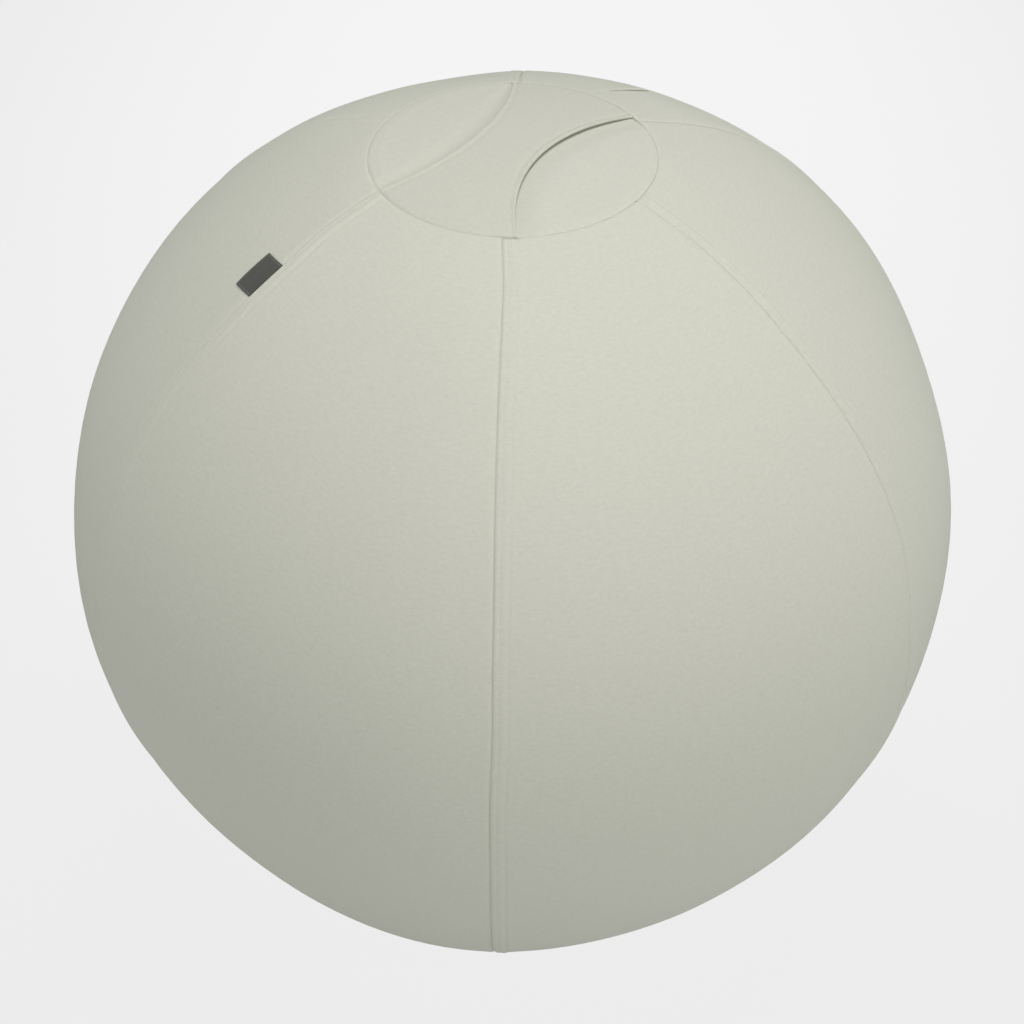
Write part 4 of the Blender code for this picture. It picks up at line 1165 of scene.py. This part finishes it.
notch = [(1.2, -5.0), (1.6, -4.6)]
arms = [(1.6, 0.1), (1.75, 0.5), (2.9, 0.5), (PULL_HALF, 0.2), (PULL_HALF, -5.0), (2.7, -9.0)]
tip = [(2.7, -15.0), (3.0, -18.0), (PULL_HALF, -20.3)]
tip += round_end(PULL_HALF, -20.3, -0.25, -1.45, 7)
slot = round_end(1.2, -19.6, math.pi, 2 * math.pi, 9) + round_end(1.2, -15.2, 0, math.pi, 9)
pull = cut_out([mirrored(notch + arms + tip), slot], 1.2, 0.3)
pin_size = {"vertices": 20, "radius": 0.56 * MM, "depth": 4.4 * MM}
pin = added(bpy.ops.mesh.primitive_cylinder_add, rotation=(0, math.pi / 2, 0), **pin_size)
pull = joined(pull, into_mesh(pin))
into_mesh(pull, on_slider(SLIDER_LATITUDE) @ Matrix.Translation((0, PIN_RADIUS, 0)))
finish(smooth_shade(pull, 35), "zip_pull", zinc, "pull", ["zip_pull_tab"])

# %% [markdown]
# ## Base disc
# The ball stands on a round disc of grey grip fabric, with small vinyl dots printed on it, so that
# it doesn't slide. Its middle is flat where it presses on the floor. The disc is spun from a
# profile like the top one, 0.35 mm above the floor, and the dots fill that height.

# %% Base
FLOOR_PATCH_RADIUS = 48 * MM
DOT_HEIGHT = 0.35 * MM
DOT_RADIUS = 1.0 * MM
DOT_SPACING = 6.5 * MM


def dish_height(radius, inset):
    """Height of the ball's flattened underside, at a depth inside the cover."""
    sphere = BALL_RADIUS - inset
    return np.maximum(inset, CENTRE_HEIGHT - np.sqrt(sphere**2 - radius**2))


base_radii = [0] + [r * MM for r in range(4, 94, 3)]
base_radii += [DISC_EDGE_RADIUS - d * MM for d in (2.4, 1.4, 0.9, 0.5, 0.25, 0)]
base_heights = [
    float(dish_height(r, DOT_HEIGHT) + edge_dip(DISC_EDGE_RADIUS - r + GAP / 2)) for r in base_radii
]
base = outwards(spun(list(zip(base_radii, base_heights)), 144))
smooth_shade(walled(plan_uv(facing(base, up=False)), COVER_THICKNESS), 60)
grip_cloth = woven("grey polyester grip fabric", "#74756D", "#5F6059", 0.88, 0.7 * MM, 0.5)
finish(base, "base_disc_cloth", grip_cloth, nodes=["base_disc"])

dot_vinyl = moulded("dark printed vinyl", "#4A4B46", "#3C3D38", 0.45, 0.6 * MM, 0.1)
dot = added(bpy.ops.mesh.primitive_uv_sphere_add, segments=8, ring_count=4, radius=1)
dot.data.transform(Matrix.Diagonal((DOT_RADIUS, DOT_RADIUS, DOT_HEIGHT * 0.99, 1)))
dot_places = []
for row in range(-16, 17):
    for column in range(-16, 17):
        x, y = (column + row % 2 / 2) * DOT_SPACING, row * DOT_SPACING * math.sqrt(3) / 2
        radius = math.hypot(x, y)
        if radius < 90 * MM:
            slope = math.asin(radius / BALL_RADIUS) if radius > FLOOR_PATCH_RADIUS else 0
            spot = Vector((x, y, float(dish_height(radius, DOT_HEIGHT))))
            lean = Matrix()
            if slope:
                lean = Matrix.Rotation(-slope, 4, Vector((-y, x, 0)).normalized())
            dot_places.append(Matrix.Translation(spot) @ lean)
sew("base_grip_dots", dot_places, dot, dot_vinyl)
bpy.data.objects.remove(dot)
print(len(dot_places), "dots")

# %% [markdown]
# ## Ball, valve, pouch and sand
# Inside are the things that make the cover a seat. The ball is rotation-moulded vinyl, 0.8 mm
# thick, with faint rings that the mould leaves, and it is pressed flat by the disc above and by
# the pouch that it stands on. Its valve sits above the zip, so that a hand reaches it. The pouch
# is two rounds of calico sewn together over a kilogram of sand, which brings the ball back upright
# when it rolls. None of these shows while the zip is closed, so they get their real shape but no
# fine detail.

# %% Inner ball
BALL_SKIN_RADIUS = 319.618 * MM
SAND_RADIUS = 78 * MM
SAND_RIM, SAND_HEAP = 1.5 * MM, 12 * MM  # its height at the rim and in the middle
POUCH_WALL = 0.8 * MM
BALL_WALL = 0.8 * MM
FLOOR = COVER_THICKNESS + GAP


def sand_height(radius):
    """The sand heaps a little towards the middle of its pouch."""
    floor = FLOOR + POUCH_WALL + GAP
    rim = dish_height(SAND_RADIUS, floor) + SAND_RIM
    return rim + (floor + SAND_HEAP - rim) * (1 - (radius / SAND_RADIUS) ** 2)


vinyl = moulded(
    "grey soft vinyl", "#9C9E9D", "#8C8E8E", 0.46, 1.2 * MM, 0.12, Specular_IOR_Level=0.4
)
MOULD_RINGS, RING_HEIGHT = 36, 0.0009  # in half a turn, and as a share of the radius
ball_size = {"segments": 96, "ring_count": 72, "radius": BALL_SKIN_RADIUS}
ball = added(bpy.ops.mesh.primitive_uv_sphere_add, **ball_size)
place = points_of(ball.data)
rings = np.cos(np.arcsin(place[:, 2:] / BALL_SKIN_RADIUS) * MOULD_RINGS) ** 8
place *= 1 + RING_HEIGHT * rings - RING_HEIGHT
place[:, 2] += CENTRE_HEIGHT
radius = np.hypot(place[:, 0], place[:, 1])
pouch_top = float(sand_height(0)) + GAP + POUCH_WALL
place[:, 2] = np.maximum(place[:, 2], pouch_top + GAP)
crown = 1 - (radius / DISC_RADIUS) ** 2
disc_depth = (3.0 + 1.2 * crown) * MM  # the top disc is pressed down by the strap
ceiling = strap_height(radius) - disc_depth - COVER_THICKNESS - 2 * GAP
under_disc = (place[:, 2] > CENTRE_HEIGHT) & (radius < DISC_EDGE_RADIUS)
place[:, 2] = np.where(under_disc, np.minimum(place[:, 2], ceiling), place[:, 2])
set_points(ball.data, place)
walled(ball, BALL_WALL)

# %% Valve hole
VALVE_LATITUDE = math.radians(18)
VALVE_BORE = 6.8 * MM
valve_spot = Vector(on_ball(math.pi, VALVE_LATITUDE, BALL_SKIN_RADIUS + GAP).tolist())
valve_out = (valve_spot - Vector((0, 0, CENTRE_HEIGHT))).normalized()
on_valve = Matrix.Translation(valve_spot) @ valve_out.to_track_quat("Z", "Y").to_matrix().to_4x4()
drill = added(bpy.ops.mesh.primitive_cylinder_add, vertices=48, radius=VALVE_BORE, depth=12 * MM)
drill.data.transform(on_valve)
hole = ball.modifiers.new("valve hole", "BOOLEAN")
hole.object = drill
hole.operation = "DIFFERENCE"
apply_all(ball)
bpy.data.objects.remove(drill)
smooth_shade(ball, 50)
finish(ball, "inner_ball_skin", vinyl, nodes=["inner_ball"])

# %% Valve seat and plug
seat_profile = [(4.2, 1.2), (7.2, 1.2), (7.5, 1.0), (8.1, 1.0), (8.4, 1.2), (9.4, 1.2), (9.7, 1.0)]
seat_profile += [(10.3, 1.0), (10.6, 1.2), (11.4, 1.15), (11.85, 0.9), (12.0, 0.5), (12.0, 0.0)]
seat_profile += [(6.5, 0.0), (6.5, -11.6), (6.2, -12.0), (4.5, -12.0), (4.2, -11.7), (4.2, 1.2)]
plug_profile = [(0, 2.6), (3.0, 2.6), (3.6, 3.1), (6.9, 3.1), (7.6, 2.85), (8.0, 2.3), (8.0, 1.5)]
plug_profile += [(3.9, 1.5), (3.9, -1.0), (3.7, -1.3), (3.9, -1.6), (3.5, -7.6), (2.9, -8.5)]
plug_profile += [(0, -8.5)]
seat_vinyl = moulded("dark moulded vinyl", "#2B2B2A", "#202020", 0.5, 0.8 * MM, 0.12)
plug_plastic = moulded("white polyethylene", "#D9D9D4", "#CDCDC7", 0.36, 0.8 * MM, 0.06)
for name, profile, material, slot, cad in (
    ("valve_seat_ring", seat_profile, seat_vinyl, "valve_vinyl", "valve_seat"),
    ("valve_stopper", plug_profile, plug_plastic, "plug_plastic", "valve_plug"),
):
    made = outwards(spun([(r * MM, z * MM) for r, z in profile], 48))
    into_mesh(smooth_shade(made, 35), on_valve)
    finish(made, name, material, nodes=[cad])

# %% Sand pouch
calico = woven("plain calico", "#C9C6B6", "#B7B3A2", 0.9, 0.5 * MM, 0.5)
POUCH_RIM = SAND_RADIUS + 6 * MM
HEM_RADIUS = 81 * MM
GATHERS, GATHER_HEIGHT, GATHER_REACH = 36, 0.12 * MM, 4 * MM
pouch_radii = [0] + [r * MM for r in range(4, 74, 3)] + [76 * MM, SAND_RADIUS, 79.5 * MM, 81 * MM]
pouch_radii += [82.5 * MM, POUCH_RIM]
low_rim = float(dish_height(POUCH_RIM, FLOOR + POUCH_WALL + GAP)) + GAP


def pouch_panel(name, cad, height, gathers):
    made = outwards(spun([(r, height(r)) for r in pouch_radii], 144))
    place = points_of(made.data)
    radius = np.hypot(place[:, 0], place[:, 1])
    turn = np.arctan2(place[:, 1], place[:, 0])
    gather = np.exp(-(((radius - SAND_RADIUS) / GATHER_REACH) ** 2)) * GATHER_HEIGHT
    place[:, 2] += gather * (np.sin(GATHERS * turn) + 1) * gathers
    set_points(made.data, place)
    smooth_shade(walled(plan_uv(facing(made)), POUCH_WALL), 60)
    finish(made, name, calico, nodes=[cad])


def lower_pouch(radius):
    return float(dish_height(radius, FLOOR + POUCH_WALL))


def upper_pouch(radius):
    if radius <= SAND_RADIUS:
        return float(sand_height(radius)) + GAP + POUCH_WALL
    hem = smooth((radius - SAND_RADIUS) / (POUCH_RIM - SAND_RADIUS))
    top = float(sand_height(SAND_RADIUS)) + GAP + POUCH_WALL
    return top + (low_rim + POUCH_WALL - top) * float(hem)


pouch_panel("lower_pouch_cloth", "lower_pouch_panel", lower_pouch, False)
pouch_panel("upper_pouch_cloth", "upper_pouch_panel", upper_pouch, True)
turn = np.linspace(0, 2 * math.pi, 146)
hem_height = np.full(len(turn), upper_pouch(HEM_RADIUS))
hem_ring = np.stack([HEM_RADIUS * np.cos(turn), HEM_RADIUS * np.sin(turn), hem_height], -1)
hem_places = frames_along(hem_ring, np.tile([0.0, 0.0, 1.0], (len(hem_ring), 1)))
sew("pouch_hem_stitches", hem_places)

# %% Sand
sand = moulded("dry silica sand", "#CBB991", "#8F7C58", 0.95, 0.6 * MM, 0.8)
SAND_RINGS = 26
GRAINS = -0.12 * MM, 0.08 * MM  # how far the top of the heap is uneven
bed = [SAND_RADIUS * ring / SAND_RINGS for ring in range(SAND_RINGS, 0, -1)] + [0]
heap = [(r, float(sand_height(r))) for r in reversed(bed)]
under = [(r, float(dish_height(r, FLOOR + POUCH_WALL + GAP))) for r in bed]
sand_heap = outwards(spun(heap + under, 96))
place = points_of(sand_heap.data)
grains = np.random.default_rng(5).uniform(*GRAINS, len(place))
on_top = place[:, 2] > dish_height(np.hypot(place[:, 0], place[:, 1]), 0) + 4 * MM
place[:, 2] += grains * on_top
set_points(sand_heap.data, place)
smooth_shade(sand_heap, 60)
finish(sand_heap, "sand_heap", sand, nodes=["sand_fill"])

# %% [markdown]
# ## Floor, light and camera
# The ball stands on a seamless pale sweep. Four big soft lamps light it: the strongest nearly
# overhead, and weaker ones low at the right, at the left and in front. A plain white world fills
# the shadows. The cloth's own colours were matched under this light. The floor glows in its pale
# colour towards the camera whatever the lamps do, so it keeps only a faint shadow of the ball. Its
# glow is a painted pool of light: brightest 1.2 m behind the ball, and fading to the sides and
# towards the front.

# %% Floor
bpy.data.objects.remove(stitch)
floor = added(bpy.ops.mesh.primitive_plane_add, size=60)
floor.name = "floor"
FLOOR_GLOW, DARKEST_GLOW, GLOW_SHARE = 0.95, 0.5, 0.92
GLOW_MIDDLE = 1.2  # metres behind the ball, where the floor is brightest
FALL_ASIDE, FALL_FORWARD = 0.121, 0.032
floor_material, tree, shader = new_material("pale sweep", "#D0D0D0", 0.9)
spot = node(tree, "ShaderNodeTexCoord").outputs["Object"]
place = node(tree, "ShaderNodeSeparateXYZ", {0: spot})
# painted light: the floor's glow is a painted pool of light, brightest GLOW_MIDDLE behind the ball
# and fading to the sides and forward
aside = maths(tree, "POWER", place.outputs[0], 2)
back = maths(tree, "SUBTRACT", place.outputs[1], GLOW_MIDDLE)
away = maths(tree, "POWER", back, 2)
fall = maths(tree, "MULTIPLY", away, FALL_FORWARD)
both = maths(tree, "MULTIPLY_ADD", aside, FALL_ASIDE, fall)
level = maths(tree, "SUBTRACT", FLOOR_GLOW, both)
# painted light: tone is the strength of the painted pool of light, never below DARKEST_GLOW
tone = maths(tree, "MAXIMUM", level, DARKEST_GLOW)
glow = node(tree, "ShaderNodeEmission", {"Color": (1, 1, 1, 1), "Strength": tone})
path = node(tree, "ShaderNodeLightPath").outputs  # it glows to the camera, not on the ball
seen = maths(tree, "MAXIMUM", path["Is Camera Ray"], path["Is Glossy Ray"])
seen = maths(tree, "MAXIMUM", seen, path["Is Transmission Ray"])
part = maths(tree, "MULTIPLY", seen, GLOW_SHARE)
mixed = node(tree, "ShaderNodeMixShader", {0: part, 1: shader.outputs[0], 2: glow})
tree.links.new(mixed.outputs[0], tree.nodes["Material Output"].inputs[0])
floor.data.materials.append(floor_material)
print("floor glows with", FLOOR_GLOW, "at its brightest")

# %% Light
LAMP_DISTANCE = 2.8
LAMP_SIZE = 1.5
LAMP_POWER = 9.87  # watts at 1 m that light a white surface to its full colour
LAMPS = [  # azimuth and elevation in degrees, and the share of the full colour
    ("top", 110, 86, 0.442), ("right", 55, 25, 0.246),
    ("left", 300, 20, 0.147), ("front", 10, 30, 0.076),
]  # fmt: skip
world = bpy.data.worlds.new("soft studio")
world.use_nodes = True
sky = world.node_tree.nodes["Background"]
sky.inputs["Color"].default_value = (1, 1, 1, 1)
sky.inputs["Strength"].default_value = 0.3
bpy.context.scene.world = world

middle = Vector((0, 0, CENTRE_HEIGHT))


def from_middle(azimuth, elevation, distance):
    """A point this far from the ball's middle. Azimuth 0 looks at the front seam."""
    flat = math.cos(elevation)
    return middle + distance * Vector(
        (math.sin(azimuth) * flat, -math.cos(azimuth) * flat, math.sin(elevation))
    )


for name, azimuth, elevation, share in LAMPS:
    data = bpy.data.lights.new(name, "AREA")
    data.shape = "DISK"
    data.size = LAMP_SIZE
    data.energy = LAMP_POWER * share * LAMP_DISTANCE**2
    lamp = bpy.data.objects.new(name, data)
    bpy.context.scene.collection.objects.link(lamp)
    lamp.location = from_middle(math.radians(azimuth), math.radians(elevation), LAMP_DISTANCE)
    lamp.rotation_euler = (middle - lamp.location).to_track_quat("-Z", "Y").to_euler()
    print(name, "lamp:", round(data.energy, 1), "W")

# %% Camera
CAMERA_AZIMUTH = math.radians(2.6)
CAMERA_ELEVATION = math.radians(40.84)
CAMERA_DISTANCE = 1.625
FOCAL_LENGTH = 2141.48 / 1024  # as a share of the picture's width
AIM_BELOW, AIM_LEFT = 2.2 * MM, 0.5 * MM  # how far the camera looks past the ball's middle
camera_data = bpy.data.cameras.new("camera")
camera = bpy.data.objects.new("camera", camera_data)
bpy.context.scene.collection.objects.link(camera)
camera_data.sensor_width = 36
camera_data.lens = FOCAL_LENGTH * camera_data.sensor_width
camera.location = from_middle(CAMERA_AZIMUTH, CAMERA_ELEVATION, CAMERA_DISTANCE)
look = (middle - camera.location).normalized()
right = look.cross(Vector((0, 0, 1))).normalized()
up = right.cross(look)
aim = middle - up * AIM_BELOW - right * AIM_LEFT
camera.rotation_euler = (aim - camera.location).to_track_quat("-Z", "Y").to_euler()
bpy.context.scene.camera = camera
bpy.context.scene.view_settings.view_transform = "Standard"
print("lens:", round(camera_data.lens, 1), "mm")
